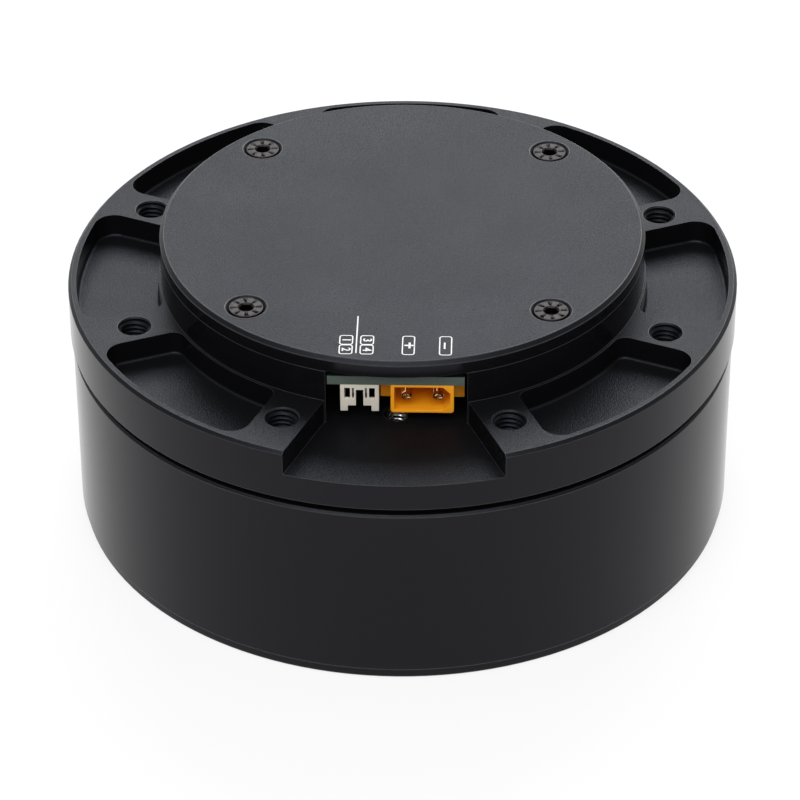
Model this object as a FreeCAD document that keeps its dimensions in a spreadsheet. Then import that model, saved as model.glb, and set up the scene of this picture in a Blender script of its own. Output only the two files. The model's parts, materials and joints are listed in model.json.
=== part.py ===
import FreeCAD, Part
import math
import os
import re

import Sketcher
from FreeCAD import Placement, Rotation, Vector

# Robot joint actuator: a brushless motor around a planetary gearbox, with its driver board on top.
# Millimetres. +Z is up, towards the rear cover. The origin is on the axis, on the face the object rests
# on. The connector slot points to -Y.

# ---------------------------------------------------------------- driving dimensions

SIZES = {
    # outer shape
    "flange_radius": 54.0,
    "drum_inset": 0.35,
    "groove_inset": 1.6,
    "groove_height": 1.15,
    "drum_height": 30.15,
    "rim_height": 8.85,
    "edge_chamfer": 0.35,
    "rim_chamfer": 0.5,
    "boss_radius": 39.0,
    "boss_height": 5.45,
    "boss_wall": 2.6,
    "cover_thick": 2.7,
    "cover_chamfer": 0.6,
    # pockets and slot in the flange
    "rim_wall": 1.35,
    "pocket_margin": 0.4,
    "pocket_depth": 4.0,
    "pocket_web_half": 3.8,
    "pocket_outer_corner": 3.2,
    "pocket_inner_corner": 1.9,
    "pocket_floor_round": 0.5,
    "slot_depth": 4.05,
    "slot_web_half": 4.0,
    "opening_half_width": 10.9,
    # mounting holes in the flange
    "mount_count": 8,
    "mount_hole_radius": 2.5,
    "mount_inset": 8.55,
    "mount_hole_depth": 7.4,
    "hole_chamfer": 0.2,
    "floor_hole_radius": 2.0,
    "floor_hole_inset": 4.3,
    "floor_hole_depth": 4.2,
    # drum and front plate
    "plate_thick": 1.6,
    "drum_wall": 6.15,
    "drum_shoulder": 2.0,
    "flange_underside_gap": 0.45,
    "spigot_thick": 2.5,
    "o_ring_drop": 1.55,
    "tie_inset": 3.85,
    "tie_head_depth": 4.9,
    "tie_length": 30.0,
    "ring_seal_thick": 0.9,
    # main bearing
    "bearing_width": 8.0,
    "bearing_pitch_radius": 26.5,
    "bearing_race": 4.0,
    "bearing_split": 0.3,
    "roller_radius": 1.75,
    "roller_count": 30,
    # gears
    "gear_module": 0.6,
    "sun_teeth": 15,
    "planet_teeth": 30,
    "tooth_height": 0.95,
    "tooth_depth": 1.25,
    "gear_width": 9.0,
    "gear_backlash": 0.06,
    "gear_side_gap": 0.5,
    "planet_count": 3,
    "carrier_thick": 2.0,
    "carrier_overlap": 1.7,
    "carrier_rear_radius": 19.5,
    "pillar_radius": 3.0,
    "pillar_pitch_radius": 16.0,
    "planet_pin_radius": 2.0,
    "bush_wall": 0.95,
    "washer_radius": 4.5,
    "ring_gear_wall": 2.95,
    "ring_gear_land": 1.5,
    "ring_screw_outset": 1.7,
    "ring_screw_margin": 2.0,
    # output flange
    "output_recess": 0.4,
    "output_lip_inset": 0.5,
    "seal_width": 2.6,
    "output_pilot_radius": 10.0,
    "output_pilot_depth": 3.0,
    "output_hole_radius": 2.0,
    "output_hole_pitch": 17.5,
    "output_hole_depth": 5.5,
    "dowel_radius": 2.0,
    "dowel_pitch": 15.0,
    "output_screw_inset": 1.7,
    "pilot_bush_radius": 4.0,
    "pilot_bush_length": 6.0,
    "pilot_journal_radius": 2.5,
    # motor
    "stack_height": 15.0,
    "stack_lift": 3.5,
    "stator_bore_radius": 33.5,
    "slot_count": 24,
    "slot_mouth": 1.4,
    "tooth_width": 4.2,
    "tooth_tip_thick": 1.3,
    "yoke_thick": 4.0,
    "insulation": 0.6,
    "coil_thick": 2.0,
    "air_gap": 0.5,
    "magnet_count": 28,
    "magnet_thick": 1.6,
    "magnet_gap": 0.6,
    "back_iron_thick": 2.4,
    "hub_web_thick": 2.0,
    "hub_web_gap": 1.0,
    "hub_bore_radius": 6.0,
    "hub_flange_radius": 11.0,
    "hub_flange_thick": 2.0,
    "hub_screw_pitch": 9.2,
    "hub_window_radius": 4.0,
    "shaft_neck_radius": 7.3,
    "sun_shoulder": 1.0,
    "rear_journal_radius": 6.0,
    "rear_bearing_radius": 10.5,
    "rear_bearing_width": 5.0,
    "preload_thick": 0.5,
    "bearing_lip": 2.0,
    "lip_thick": 1.2,
    "hub_wall": 2.0,
    "ball_radius": 1.19,
    "ball_count": 12,
    "race_gap": 0.9,
    "cage_thick": 1.0,
    "encoder_magnet_radius": 3.0,
    "encoder_magnet_thick": 2.5,
    "encoder_holder_radius": 4.0,
    "encoder_gap": 1.2,
    "lead_radius": 0.9,
    "lead_inset": 1.6,
    "lead_spacing": 8.0,
    # electronics
    "board_thick": 1.6,
    "board_clearance": 0.8,
    "board_gap_above": 1.1,
    "board_inset": 2.0,
    "board_tab_left": 10.7,
    "board_tab_right": 10.5,
    "post_radius": 3.2,
    "post_clearance": 0.4,
    "cover_screw_inset": 5.4,
    "cover_screw_head": 2.9,
    "standoff_radius": 2.4,
    "standoff_inset": 9.0,
    "power_centre": 3.97,
    "power_width": 9.75,
    "power_height": 5.1,
    "power_length": 12.0,
    "power_wall": 0.57,
    "power_lip": 0.42,
    "power_corner": 1.1,
    "power_round": 0.5,
    "power_ear_width": 13.0,
    "power_ear_height": 4.15,
    "power_pin_radius": 1.0,
    "power_pin_pitch": 4.88,
    "pin_split": 0.32,
    "pin_split_depth": 4.0,
    "signal_centre": -5.68,
    "signal_width": 5.95,
    "signal_height": 4.9,
    "signal_length": 7.6,
    "signal_wall": 0.63,
    "signal_pin_width": 0.22,
    "signal_back": 1.2,
    "signal_pin_pitch": 2.0,
    "power_floor": 3.0,
    "power_pin_set_back": 1.2,
    "power_ear_set_back": 3.0,
    "power_ear_length": 4.0,
    "signal_bridge": 1.0,
    "signal_window_height": 2.0,
    "signal_shelf": 1.0,
    "signal_front": 0.6,
    "signal_gap_half": 0.57,
    "signal_post_width": 0.9,
    "signal_foot_width": 1.15,
    "signal_slit_width": 0.3,
    "chip_height": 0.9,
    "pad_thick": 0.3,
    "capacitor_radius": 3.1,
    "capacitor_height": 5.4,
    # screws and their holes
    "large_screw_radius": 1.5,
    "large_head_radius": 2.75,
    "large_head_height": 3.0,
    "medium_screw_radius": 1.25,
    "medium_head_radius": 2.4,
    "small_screw_radius": 1.0,
    "small_head_radius": 1.7,
    "small_head_height": 1.2,
    "large_key": 2.5,
    "cover_key": 2.0,
    "medium_key": 1.5,
    "small_key": 1.3,
    "screw_gap": 0.1,
    "head_gap": 0.15,
    "screw_sink": 0.35,
    "medium_screw_grip": 5.5,
    "cover_screw_grip": 5.0,
    "small_screw_grip": 4.5,
    "hole_spare": 0.6,
    # shared clearances
    "fit_gap": 0.02,
    "run_gap": 0.06,
    "seat_gap": 0.3,
}

# Levels and radii that follow from the driving dimensions.
DERIVED = {
    "drum_radius": "flange_radius - drum_inset",
    "groove_radius": "flange_radius - groove_inset",
    "plate_radius": "drum_radius - edge_chamfer",
    "drum_bore_radius": "drum_radius - drum_wall",
    "tie_pitch_radius": "drum_radius - tie_inset",
    "pocket_outer_radius": "flange_radius - rim_wall",
    "pocket_inner_radius": "boss_radius + pocket_margin",
    "mount_pitch_radius": "flange_radius - mount_inset",
    "floor_hole_pitch": "boss_radius - floor_hole_inset",
    "board_front": "boss_radius - board_inset",
    "cover_screw_pitch": "boss_radius - cover_screw_inset",
    "standoff_pitch": "boss_radius - standoff_inset",
    "lead_pitch_radius": "cavity_radius - lead_inset",
    "bearing_outer_radius": "bearing_pitch_radius + bearing_race",
    "bearing_inner_radius": "bearing_pitch_radius - bearing_race",
    "output_lip_radius": "bearing_pitch_radius - output_lip_inset",
    "plate_inner_radius": "output_lip_radius + seal_width",
    "carrier_radius": "bearing_inner_radius + carrier_overlap",
    "output_screw_pitch": "bearing_inner_radius - output_screw_inset",
    "ring_screw_pitch": "bearing_outer_radius + ring_screw_outset",
    "ring_flange_radius": "ring_screw_pitch + ring_screw_margin",
    "web_top": "plate_thick + bearing_width",
    "drum_top": "plate_thick + drum_height",
    "rim_bottom": "drum_top + groove_height",
    "flange_top": "rim_bottom + rim_height",
    "boss_top": "flange_top + boss_height",
    "cover_top": "boss_top + cover_thick",
    "pocket_floor": "flange_top - pocket_depth",
    "slot_floor": "flange_top - slot_depth",
    "underside": "drum_top + flange_underside_gap",
    "cavity_radius": "boss_radius - boss_wall",
    "spigot_radius": "drum_bore_radius - fit_gap",
    "spigot_inner": "drum_bore_radius - spigot_thick",
    "stack_bottom": "web_top + stack_lift",
    "stack_top": "stack_bottom + stack_height",
    "shoulder_radius": "drum_bore_radius - drum_shoulder",
    "o_ring_level": "drum_top - o_ring_drop",
    "o_ring_room": "ring_seal_thick / 2 + hole_chamfer",
    "o_ring_groove_radius": "drum_bore_radius - ring_seal_thick - 2 * fit_gap",
    "tie_seat": "plate_thick + tie_head_depth",
    "carrier_top": "web_top + carrier_thick",
    "gear_bottom": "carrier_top + gear_side_gap",
    "gear_top": "gear_bottom + gear_width",
    "rear_plate_bottom": "gear_top + gear_side_gap",
    "rear_plate_top": "rear_plate_bottom + carrier_thick",
    "centre_distance": "gear_module * (sun_teeth + planet_teeth) / 2",
    "ring_teeth": "sun_teeth + 2 * planet_teeth",
    "ring_root_radius": "gear_module * (ring_teeth / 2 + tooth_depth)",
    "sun_root_radius": "gear_module * (sun_teeth / 2 - tooth_depth)",
    "ring_gear_radius": "max(ring_root_radius + ring_gear_wall; ring_flange_bore + ring_gear_land)",
    "ring_flange_bore": "carrier_radius + gear_side_gap",
    "hub_web_bottom": "rear_plate_top + hub_web_gap",
    "hub_web_top": "hub_web_bottom + hub_web_thick",
    "magnet_radius": "stator_bore_radius - air_gap",
    "back_iron_radius": "magnet_radius - magnet_thick",
    "back_iron_bore": "back_iron_radius - back_iron_thick",
    "bearing_seat_top": "underside + rear_bearing_width + preload_thick",
    "lip_radius": "rear_bearing_radius - bearing_lip",
    "lip_top": "bearing_seat_top + lip_thick",
    "hub_wall_radius": "rear_bearing_radius + hub_wall",
    "shaft_end": "lip_top - seat_gap",
    "board_bottom": "board_top - board_thick",
    "board_top": "boss_top - board_gap_above",
    "board_radius": "cavity_radius - board_clearance",
    "encoder_magnet_top": "board_bottom - chip_height - encoder_gap",
    "encoder_magnet_bottom": "encoder_magnet_top - encoder_magnet_thick",
    "planet_bore": "planet_pin_radius + run_gap / 2 + bush_wall",
    "output_seat": "output_recess + output_hole_depth",
    "bush_bottom": "carrier_top - pilot_bush_length",
    "coil_inner_radius": "stator_bore_radius + tooth_tip_thick + seat_gap",
    "coil_outer_radius": "drum_bore_radius - yoke_thick - seat_gap",
}

OUTPUT_FOLDER = "parts"
TURN = 360.0
TOUCH = 1e-4                      # lengths closer than this count as equal
WEB_ANGLE = "180 / mount_count"
PILLAR_ANGLE = "180 / planet_count"
LARGE_CLEAR = "large_screw_radius + screw_gap"
LARGE_RECESS = "large_head_radius + head_gap"
LARGE_TAPPED = "large_screw_radius + fit_gap"
MEDIUM_CLEAR = "medium_screw_radius + screw_gap"
MEDIUM_TAPPED = "medium_screw_radius + fit_gap"
SMALL_TAPPED = "small_screw_radius + fit_gap"
DOWN = -90.0                      # the direction of the connector slot, -Y

doc = FreeCAD.newDocument("joint_actuator")
sheet = doc.addObject("Spreadsheet::Sheet", "dims")
for row, (alias, value) in enumerate(SIZES.items(), start=1):
    sheet.set(f"A{row}", alias)
    sheet.set(f"B{row}", str(value))
    sheet.setAlias(f"B{row}", alias)
doc.recompute()

pieces = []


# ---------------------------------------------------------------- helpers

def bound(text):
    """The sheet expression for a size written in plain words."""
    def swap(match):
        word = match.group(0)
        if word in DERIVED:
            return "(" + bound(DERIVED[word]) + ")"
        return "dims." + word if word in SIZES else word
    return re.sub(r"[a-z_][a-z_0-9]*", swap, text)


def size(text):
    """The value of a size written in plain words."""
    return float(sheet.evalExpression(bound(text)))


def new_body(label):
    """An empty body, which may hold several separate solids."""
    body = doc.addObject("PartDesign::Body", label)
    body.Label = label
    body.AllowCompound = True
    pieces.append(body)
    return body


def origin_part(body, role):
    """The body's own origin plane or axis with this role."""
    return next(item for item in body.Origin.OriginFeatures if item.Role == role)


def flat_sketch(body, level):
    """A sketch parallel to XY at a level."""
    sketch = body.newObject("Sketcher::SketchObject", body.Label + "_flat")
    sketch.AttachmentSupport = [(origin_part(body, "XY_Plane"), "")]
    sketch.MapMode = "FlatFace"
    sketch.setExpression("AttachmentOffset.Base.z", bound(level))
    return sketch


def upright_sketch(body, pitch="0", angle="0"):
    """A sketch whose x runs outwards and y runs up, on a line parallel to Z at a polar place."""
    sketch = body.newObject("Sketcher::SketchObject", body.Label + "_turned")
    sketch.AttachmentSupport = [(origin_part(body, "XZ_Plane"), "")]
    sketch.MapMode = "FlatFace"
    if pitch != "0":
        sketch.AttachmentOffset = Placement(Vector(), Rotation(Vector(0, 1, 0), 1.0))
        sketch.setExpression("AttachmentOffset.Rotation.Angle", bound(angle))
        sketch.setExpression("AttachmentOffset.Base.x", bound(f"({pitch}) * cos({angle})"))
        sketch.setExpression("AttachmentOffset.Base.z", bound(f"-({pitch}) * sin({angle})"))
    return sketch


def front_sketch(body, depth):
    """A sketch facing -Y whose x is X and y is Z, at a distance to the front of the axis."""
    sketch = body.newObject("Sketcher::SketchObject", body.Label + "_front")
    sketch.AttachmentSupport = [(origin_part(body, "XZ_Plane"), "")]
    sketch.MapMode = "FlatFace"
    sketch.setExpression("AttachmentOffset.Base.z", bound(depth))
    return sketch


def bind_point(sketch, item, end, x_text, y_text):
    """Ties one end of a sketch item to a place given by two sizes."""
    for kind, text, axis in (("DistanceX", x_text, -2), ("DistanceY", y_text, -1)):
        if text == "0":
            sketch.addConstraint(Sketcher.Constraint("PointOnObject", item, end, axis))
        else:
            number = sketch.addConstraint(Sketcher.Constraint(kind, -1, 1, item, end, size(text)))
            sketch.setExpression(f"Constraints[{number}]", bound(text))


def outline(sketch, corners):
    """A closed outline of straight lines through corners given as sizes."""
    first = sketch.GeometryCount
    places = [Vector(size(x), size(y), 0) for x, y in corners]
    count = len(places)
    for index in range(count):
        sketch.addGeometry(Part.LineSegment(places[index], places[(index + 1) % count]))
    for index in range(count):
        following = first + (index + 1) % count
        sketch.addConstraint(Sketcher.Constraint("Coincident", first + index, 2, following, 1))
    for index, (x, y) in enumerate(corners):
        bind_point(sketch, first + index, 1, x, y)


def rectangle(sketch, x_low, x_high, y_low, y_high):
    """A closed rectangle between four sizes."""
    outline(sketch, [(x_low, y_low), (x_high, y_low), (x_high, y_high), (x_low, y_high)])


def circle(sketch, radius, x="0", y="0"):
    """A circle with its centre and radius tied to sizes."""
    centre = Vector(size(x), size(y), 0)
    item = sketch.addGeometry(Part.Circle(centre, Vector(0, 0, 1), size(radius)))
    bind_point(sketch, item, 3, x, y)
    number = sketch.addConstraint(Sketcher.Constraint("Radius", item, size(radius)))
    sketch.setExpression(f"Constraints[{number}]", bound(radius))


def polar(radius, angle):
    """The x and y of a polar place, as sizes."""
    return f"({radius}) * cos({angle})", f"({radius}) * sin({angle})"


def sector(sketch, inner, outer, web_half, centre_angle, half_angle):
    """A ring sector whose straight sides run parallel to the two radii beside it."""
    middle = math.radians(centre_angle)
    reach = math.radians(size(half_angle))
    corners = {}
    for side in (-1, 1):
        along = Vector(math.cos(middle + side * reach), math.sin(middle + side * reach), 0)
        inward = Vector(along.y, -along.x, 0) * side * size(web_half)
        for radius in (inner, outer):
            length = math.sqrt(size(radius) ** 2 - size(web_half) ** 2)
            corners[side, radius] = along * length + inward
    first = sketch.GeometryCount
    for radius in (inner, outer):
        start = math.atan2(corners[-1, radius].y, corners[-1, radius].x)
        stop = math.atan2(corners[1, radius].y, corners[1, radius].x)
        ring = Part.Circle(Vector(), Vector(0, 0, 1), size(radius))
        arc = sketch.addGeometry(Part.ArcOfCircle(ring, start, stop if stop > start else stop + math.tau))
        sketch.addConstraint(Sketcher.Constraint("Coincident", arc, 3, -1, 1))
        number = sketch.addConstraint(Sketcher.Constraint("Radius", arc, size(radius)))
        sketch.setExpression(f"Constraints[{number}]", bound(radius))
    for side in (-1, 1):
        line = sketch.addGeometry(Part.LineSegment(corners[side, inner], corners[side, outer]))
        end = 1 if side < 0 else 2
        sketch.addConstraint(Sketcher.Constraint("Coincident", first, end, line, 1))
        sketch.addConstraint(Sketcher.Constraint("Coincident", first + 1, end, line, 2))
        for point, radius in ((1, inner), (2, outer)):
            heading = f"({centre_angle} + ({side}) * ({half_angle}))"
            run = f"sqrt(({radius})^2 - ({web_half})^2)"
            x = f"{run} * cos{heading} + ({side}) * ({web_half}) * sin{heading}"
            number = sketch.addConstraint(
                Sketcher.Constraint("DistanceX", -1, 1, line, point, corners[side, radius].x))
            sketch.setExpression(f"Constraints[{number}]", bound(x))


def revolve(body, sketch, cut=False):
    """Turns a sketch about its own upright axis, to add or to cut."""
    feature = body.newObject("PartDesign::Groove" if cut else "PartDesign::Revolution", body.Label + "_turn")
    feature.Profile = sketch
    feature.ReferenceAxis = (sketch, ["V_Axis"])
    feature.Angle = TURN
    doc.recompute()
    return feature


def extrude(body, sketch, length, cut=False, upwards=True):
    """Pads or pockets a sketch along its own normal, or against it."""
    feature = body.newObject("PartDesign::Pocket" if cut else "PartDesign::Pad", body.Label + "_run")
    feature.Profile = sketch
    feature.setExpression("Length", bound(length))
    feature.Reversed = upwards if cut else not upwards
    doc.recompute()
    return feature


def around(body, features, count):
    """Repeats features evenly about the body's Z axis."""
    pattern = body.newObject("PartDesign::PolarPattern", body.Label + "_ring")
    pattern.Originals = features
    pattern.Axis = (origin_part(body, "Z_Axis"), [""])
    pattern.Angle = TURN
    pattern.setExpression("Occurrences", bound(count))
    body.Tip = pattern
    doc.recompute()
    return pattern


def round_edges(body, radius, chosen, chamfer=False):
    """Rounds or chamfers the edges of the body's last feature that the test picks."""
    base = body.Tip
    names = [f"Edge{index}" for index, edge in enumerate(base.Shape.Edges, start=1) if chosen(edge)]
    feature = body.newObject("PartDesign::Chamfer" if chamfer else "PartDesign::Fillet", body.Label + "_edge")
    feature.Base = (base, names)
    feature.setExpression("Size" if chamfer else "Radius", bound(radius))
    doc.recompute()
    return feature


def is_upright(edge):
    """True for a straight edge that runs along Z."""
    low, high = edge.BoundBox.ZMin, edge.BoundBox.ZMax
    return abs(edge.Length - (high - low)) < TOUCH


def distance_from_axis(edge):
    """How far an edge's middle lies from the Z axis."""
    middle = edge.valueAt((edge.FirstParameter + edge.LastParameter) / 2)
    return math.hypot(middle.x, middle.y)


def turned(label, corners):
    """A body turned about Z from corners of radius and height."""
    body = new_body(label)
    sketch = upright_sketch(body)
    outline(sketch, corners)
    revolve(body, sketch)
    return body


def ring(label, inner, outer, low, high):
    """A plain ring about Z."""
    return turned(label, [(inner, low), (outer, low), (outer, high), (inner, high)])


def bore(body, pitch, angle, count, corners):
    """Cuts round holes, each turned from corners of radius and height, evenly about Z."""
    sketch = upright_sketch(body, pitch, angle)
    outline(sketch, corners)
    cut = revolve(body, sketch, cut=True)
    return cut if count == "1" else around(body, [cut], count)


def straight_hole(radius, low, high):
    """The corners of a plain round hole."""
    return [("0", low), (radius, low), (radius, high), ("0", high)]


def drilled_hole(radius, mouth, bottom, mouth_radius=None):
    """The corners of a drilled blind hole with a pointed end, and a chamfered mouth where asked."""
    onwards = "-" if size(mouth) > size(bottom) else "+"
    point = f"{bottom} {onwards} ({radius}) * tan(30)"
    corners = [("0", point), (radius, bottom)]
    if mouth_radius:
        corners += [(radius, f"{mouth} {onwards} (({mouth_radius}) - ({radius}))"), (mouth_radius, mouth)]
    else:
        corners.append((radius, mouth))
    return corners + [("0", mouth)]


def countersunk_bore(body, pitch, angle, count, radius, mouth_radius, far, mouth):
    """Cuts a ring of through holes with a 45 degree countersink at the mouth level."""
    inwards = "-" if size(mouth) > size(far) else "+"
    bore(body, pitch, angle, count, [
        ("0", far), (radius, far), (radius, f"{mouth} {inwards} (({mouth_radius}) - ({radius}))"),
        (mouth_radius, mouth), ("0", mouth)])


def screws(label, pitch, angle, count, shank, head, top, tip, key, head_height=None):
    """Socket screws in a ring, from the head's top to the tip: countersunk unless a head height is given."""
    body = new_body(label)
    inwards = "-" if size(top) > size(tip) else "+"
    if head_height:
        seat = f"{top} {inwards} ({head_height})"
        corners = [("0", tip), (shank, tip), (shank, seat), (head, seat), (head, top), ("0", top)]
    else:
        head_height = f"(({head}) - ({shank}))"
        seat = f"{top} {inwards} {head_height}"
        corners = [("0", tip), (shank, tip), (shank, seat), (head, top), ("0", top)]
    sketch = upright_sketch(body, pitch, angle)
    outline(sketch, corners)
    turned_screw = revolve(body, sketch)
    recess = flat_sketch(body, top)
    x, y = polar(pitch, angle)
    outline(recess, [(f"{x} + ({key}) / sqrt(3) * cos({60 * k})", f"{y} + ({key}) / sqrt(3) * sin({60 * k})")
                     for k in range(6)])
    socket = extrude(body, recess, f"({head_height}) * 0.6", cut=True, upwards=inwards == "+")
    around(body, [turned_screw, socket], count)
    return body


def plain_feature(label, shape, base=None):
    """A sub-part whose shape is worked out in code."""
    feature = doc.addObject("Part::Feature", label)
    feature.Label = label
    feature.Shape = shape
    feature.Placement = base or Placement()
    pieces.append(feature)
    return feature


# ---------------------------------------------------------------- housing

def drum_shell():
    body = turned("drum_shell", [
        ("bearing_outer_radius", "plate_thick"),
        ("drum_radius - edge_chamfer", "plate_thick"),
        ("drum_radius", "plate_thick + edge_chamfer"),
        ("drum_radius", "drum_top - edge_chamfer"),
        ("drum_radius - edge_chamfer", "drum_top"),
        ("drum_bore_radius", "drum_top"),
        ("drum_bore_radius", "stack_bottom"),
        ("shoulder_radius", "stack_bottom"),
        ("shoulder_radius", "web_top"),
        ("bearing_outer_radius", "web_top"),
    ])
    bore(body, "tie_pitch_radius", "0", "mount_count", [
        ("0", "plate_thick"), (LARGE_RECESS, "plate_thick"), (LARGE_RECESS, "tie_seat"),
        (LARGE_CLEAR, "tie_seat"), (LARGE_CLEAR, "drum_top"), ("0", "drum_top")])
    bore(body, "tie_pitch_radius", WEB_ANGLE, "mount_count",
         drilled_hole(MEDIUM_TAPPED, "plate_thick", "plate_thick + medium_screw_grip + hole_spare"))
    bore(body, "ring_screw_pitch", "30", "6",
         drilled_hole(SMALL_TAPPED, "web_top", "web_top - small_screw_grip - hole_spare"))


def rear_flange():
    body = turned("rear_flange", [
        ("rear_bearing_radius", "underside"),
        ("spigot_inner", "underside"),
        ("spigot_inner", "stack_top"),
        ("spigot_radius", "stack_top"),
        ("spigot_radius", "o_ring_level - o_ring_room"),
        ("o_ring_groove_radius", "o_ring_level - o_ring_room"),
        ("o_ring_groove_radius", "o_ring_level + o_ring_room"),
        ("spigot_radius", "o_ring_level + o_ring_room"),
        ("spigot_radius", "drum_top"),
        ("groove_radius", "drum_top"),
        ("groove_radius", "rim_bottom"),
        ("flange_radius - edge_chamfer", "rim_bottom"),
        ("flange_radius", "rim_bottom + edge_chamfer"),
        ("flange_radius", "flange_top - rim_chamfer"),
        ("flange_radius - rim_chamfer", "flange_top"),
        ("boss_radius", "flange_top"),
        ("boss_radius", "boss_top"),
        ("cavity_radius", "boss_top"),
        ("cavity_radius", "slot_floor"),
        ("hub_wall_radius", "slot_floor"),
        ("hub_wall_radius", "lip_top"),
        ("lip_radius", "lip_top"),
        ("lip_radius", "bearing_seat_top"),
        ("rear_bearing_radius", "bearing_seat_top"),
    ])
    flange_pockets(body)
    flange_posts(body)
    bore(body, "mount_pitch_radius", WEB_ANGLE, "mount_count",
         drilled_hole("mount_hole_radius", "flange_top", "flange_top - mount_hole_depth",
                      "mount_hole_radius + hole_chamfer"))
    bore(body, "tie_pitch_radius", "0", "mount_count",
         drilled_hole(LARGE_TAPPED, "drum_top", "tie_seat + tie_length + hole_spare / 2"))
    bore(body, "floor_hole_pitch", str(DOWN), "1",
         drilled_hole("floor_hole_radius", "slot_floor", "slot_floor - floor_hole_depth",
                      "floor_hole_radius + hole_chamfer"))
    holes = flat_sketch(body, "slot_floor")
    for step in (-1, 0, 1):
        x, y = polar("lead_pitch_radius", f"(90 + ({step}) * lead_spacing)")
        circle(holes, "lead_radius + seat_gap", x, y)
    extrude(body, holes, "slot_floor - underside", cut=True, upwards=False)


def flange_pockets(body):
    """Seven blind pockets, the connector slot and the opening in the boss wall."""
    step = "360 / mount_count"
    cut_sketch = flat_sketch(body, "flange_top")
    for index in range(1, int(SIZES["mount_count"])):
        centre = DOWN + index * TURN / SIZES["mount_count"]
        sector(cut_sketch, "pocket_inner_radius", "pocket_outer_radius", "pocket_web_half", centre,
               f"{step} / 2")
    extrude(body, cut_sketch, "pocket_depth", cut=True, upwards=False)
    floor = size("pocket_floor")
    for radius_name, corner in (("pocket_outer_radius", "pocket_outer_corner"),
                                ("pocket_inner_radius", "pocket_inner_corner")):
        radius = size(radius_name)
        round_edges(body, corner, lambda edge, radius=radius: (
            is_upright(edge) and abs(distance_from_axis(edge) - radius) < TOUCH
            and abs(edge.BoundBox.ZMin - floor) < TOUCH))
    round_edges(body, "pocket_floor_round", lambda edge: (
        abs(edge.BoundBox.ZMax - floor) < TOUCH and abs(edge.BoundBox.ZMin - floor) < TOUCH
        and distance_from_axis(edge) > size("boss_radius")))
    slot = flat_sketch(body, "flange_top")
    sector(slot, "boss_radius", "flange_radius + 3", "slot_web_half", DOWN, f"{step} / 2")
    extrude(body, slot, "slot_depth", cut=True, upwards=False)
    door = flat_sketch(body, "boss_top")
    rectangle(door, "-opening_half_width", "opening_half_width", "-boss_radius - 1", "2 - cavity_radius")
    extrude(body, door, "boss_top - slot_floor", cut=True, upwards=False)


def flange_posts(body):
    """Four posts for the cover screws and three standoffs for the board."""
    posts = flat_sketch(body, "slot_floor")
    x, y = polar("cover_screw_pitch", "45")
    circle(posts, "post_radius", x, y)
    around(body, [extrude(body, posts, "boss_top - slot_floor")], "4")
    bore(body, "cover_screw_pitch", "45", "4",
         drilled_hole(LARGE_TAPPED, "boss_top", "boss_top - cover_screw_grip - hole_spare"))
    for angle in ("0", "90", "180"):
        standoff = flat_sketch(body, "slot_floor")
        x, y = polar("standoff_pitch", angle)
        circle(standoff, "standoff_radius", x, y)
        extrude(body, standoff, "board_bottom - slot_floor")
        bore(body, "standoff_pitch", angle, "1",
             drilled_hole(SMALL_TAPPED, "board_bottom", "board_bottom - small_screw_grip - hole_spare"))


def rear_cover():
    body = turned("rear_cover", [
        ("0", "boss_top"), ("boss_radius", "boss_top"), ("boss_radius", "cover_top - cover_chamfer"),
        ("boss_radius - cover_chamfer", "cover_top"), ("0", "cover_top")])
    countersunk_bore(body, "cover_screw_pitch", "45", "4", LARGE_CLEAR, "cover_screw_head + screw_sink",
                     "boss_top", "cover_top")
    screws("cover_screws", "cover_screw_pitch", "45", "4", "large_screw_radius", "cover_screw_head",
           "cover_top - screw_sink", "boss_top - cover_screw_grip", "cover_key")


def front_plate():
    body = turned("front_plate", [
        ("plate_inner_radius", "0"), ("plate_radius - edge_chamfer", "0"),
        ("plate_radius", "edge_chamfer"), ("plate_radius", "plate_thick"),
        ("plate_inner_radius", "plate_thick")])
    bore(body, "tie_pitch_radius", "0", "mount_count", straight_hole(LARGE_RECESS, "0", "plate_thick"))
    countersunk_bore(body, "tie_pitch_radius", WEB_ANGLE, "mount_count", MEDIUM_CLEAR,
                     "medium_head_radius + head_gap", "plate_thick", "0")
    screws("front_plate_screws", "tie_pitch_radius", WEB_ANGLE, "mount_count", "medium_screw_radius",
           "medium_head_radius", "head_gap", "plate_thick + medium_screw_grip", "medium_key")
    screws("tie_screws", "tie_pitch_radius", "0", "mount_count", "large_screw_radius",
           "large_head_radius", "tie_seat - large_head_height", "tie_seat + tie_length", "large_key",
           "large_head_height")


def seals():
    body = new_body("flange_o_ring")
    sketch = upright_sketch(body)
    circle(sketch, "ring_seal_thick / 2", "drum_bore_radius - ring_seal_thick / 2 - fit_gap", "o_ring_level")
    revolve(body, sketch)
    ring("output_seal", "output_lip_radius + run_gap", "plate_inner_radius", "seat_gap",
         "plate_thick - screw_gap")


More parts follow.
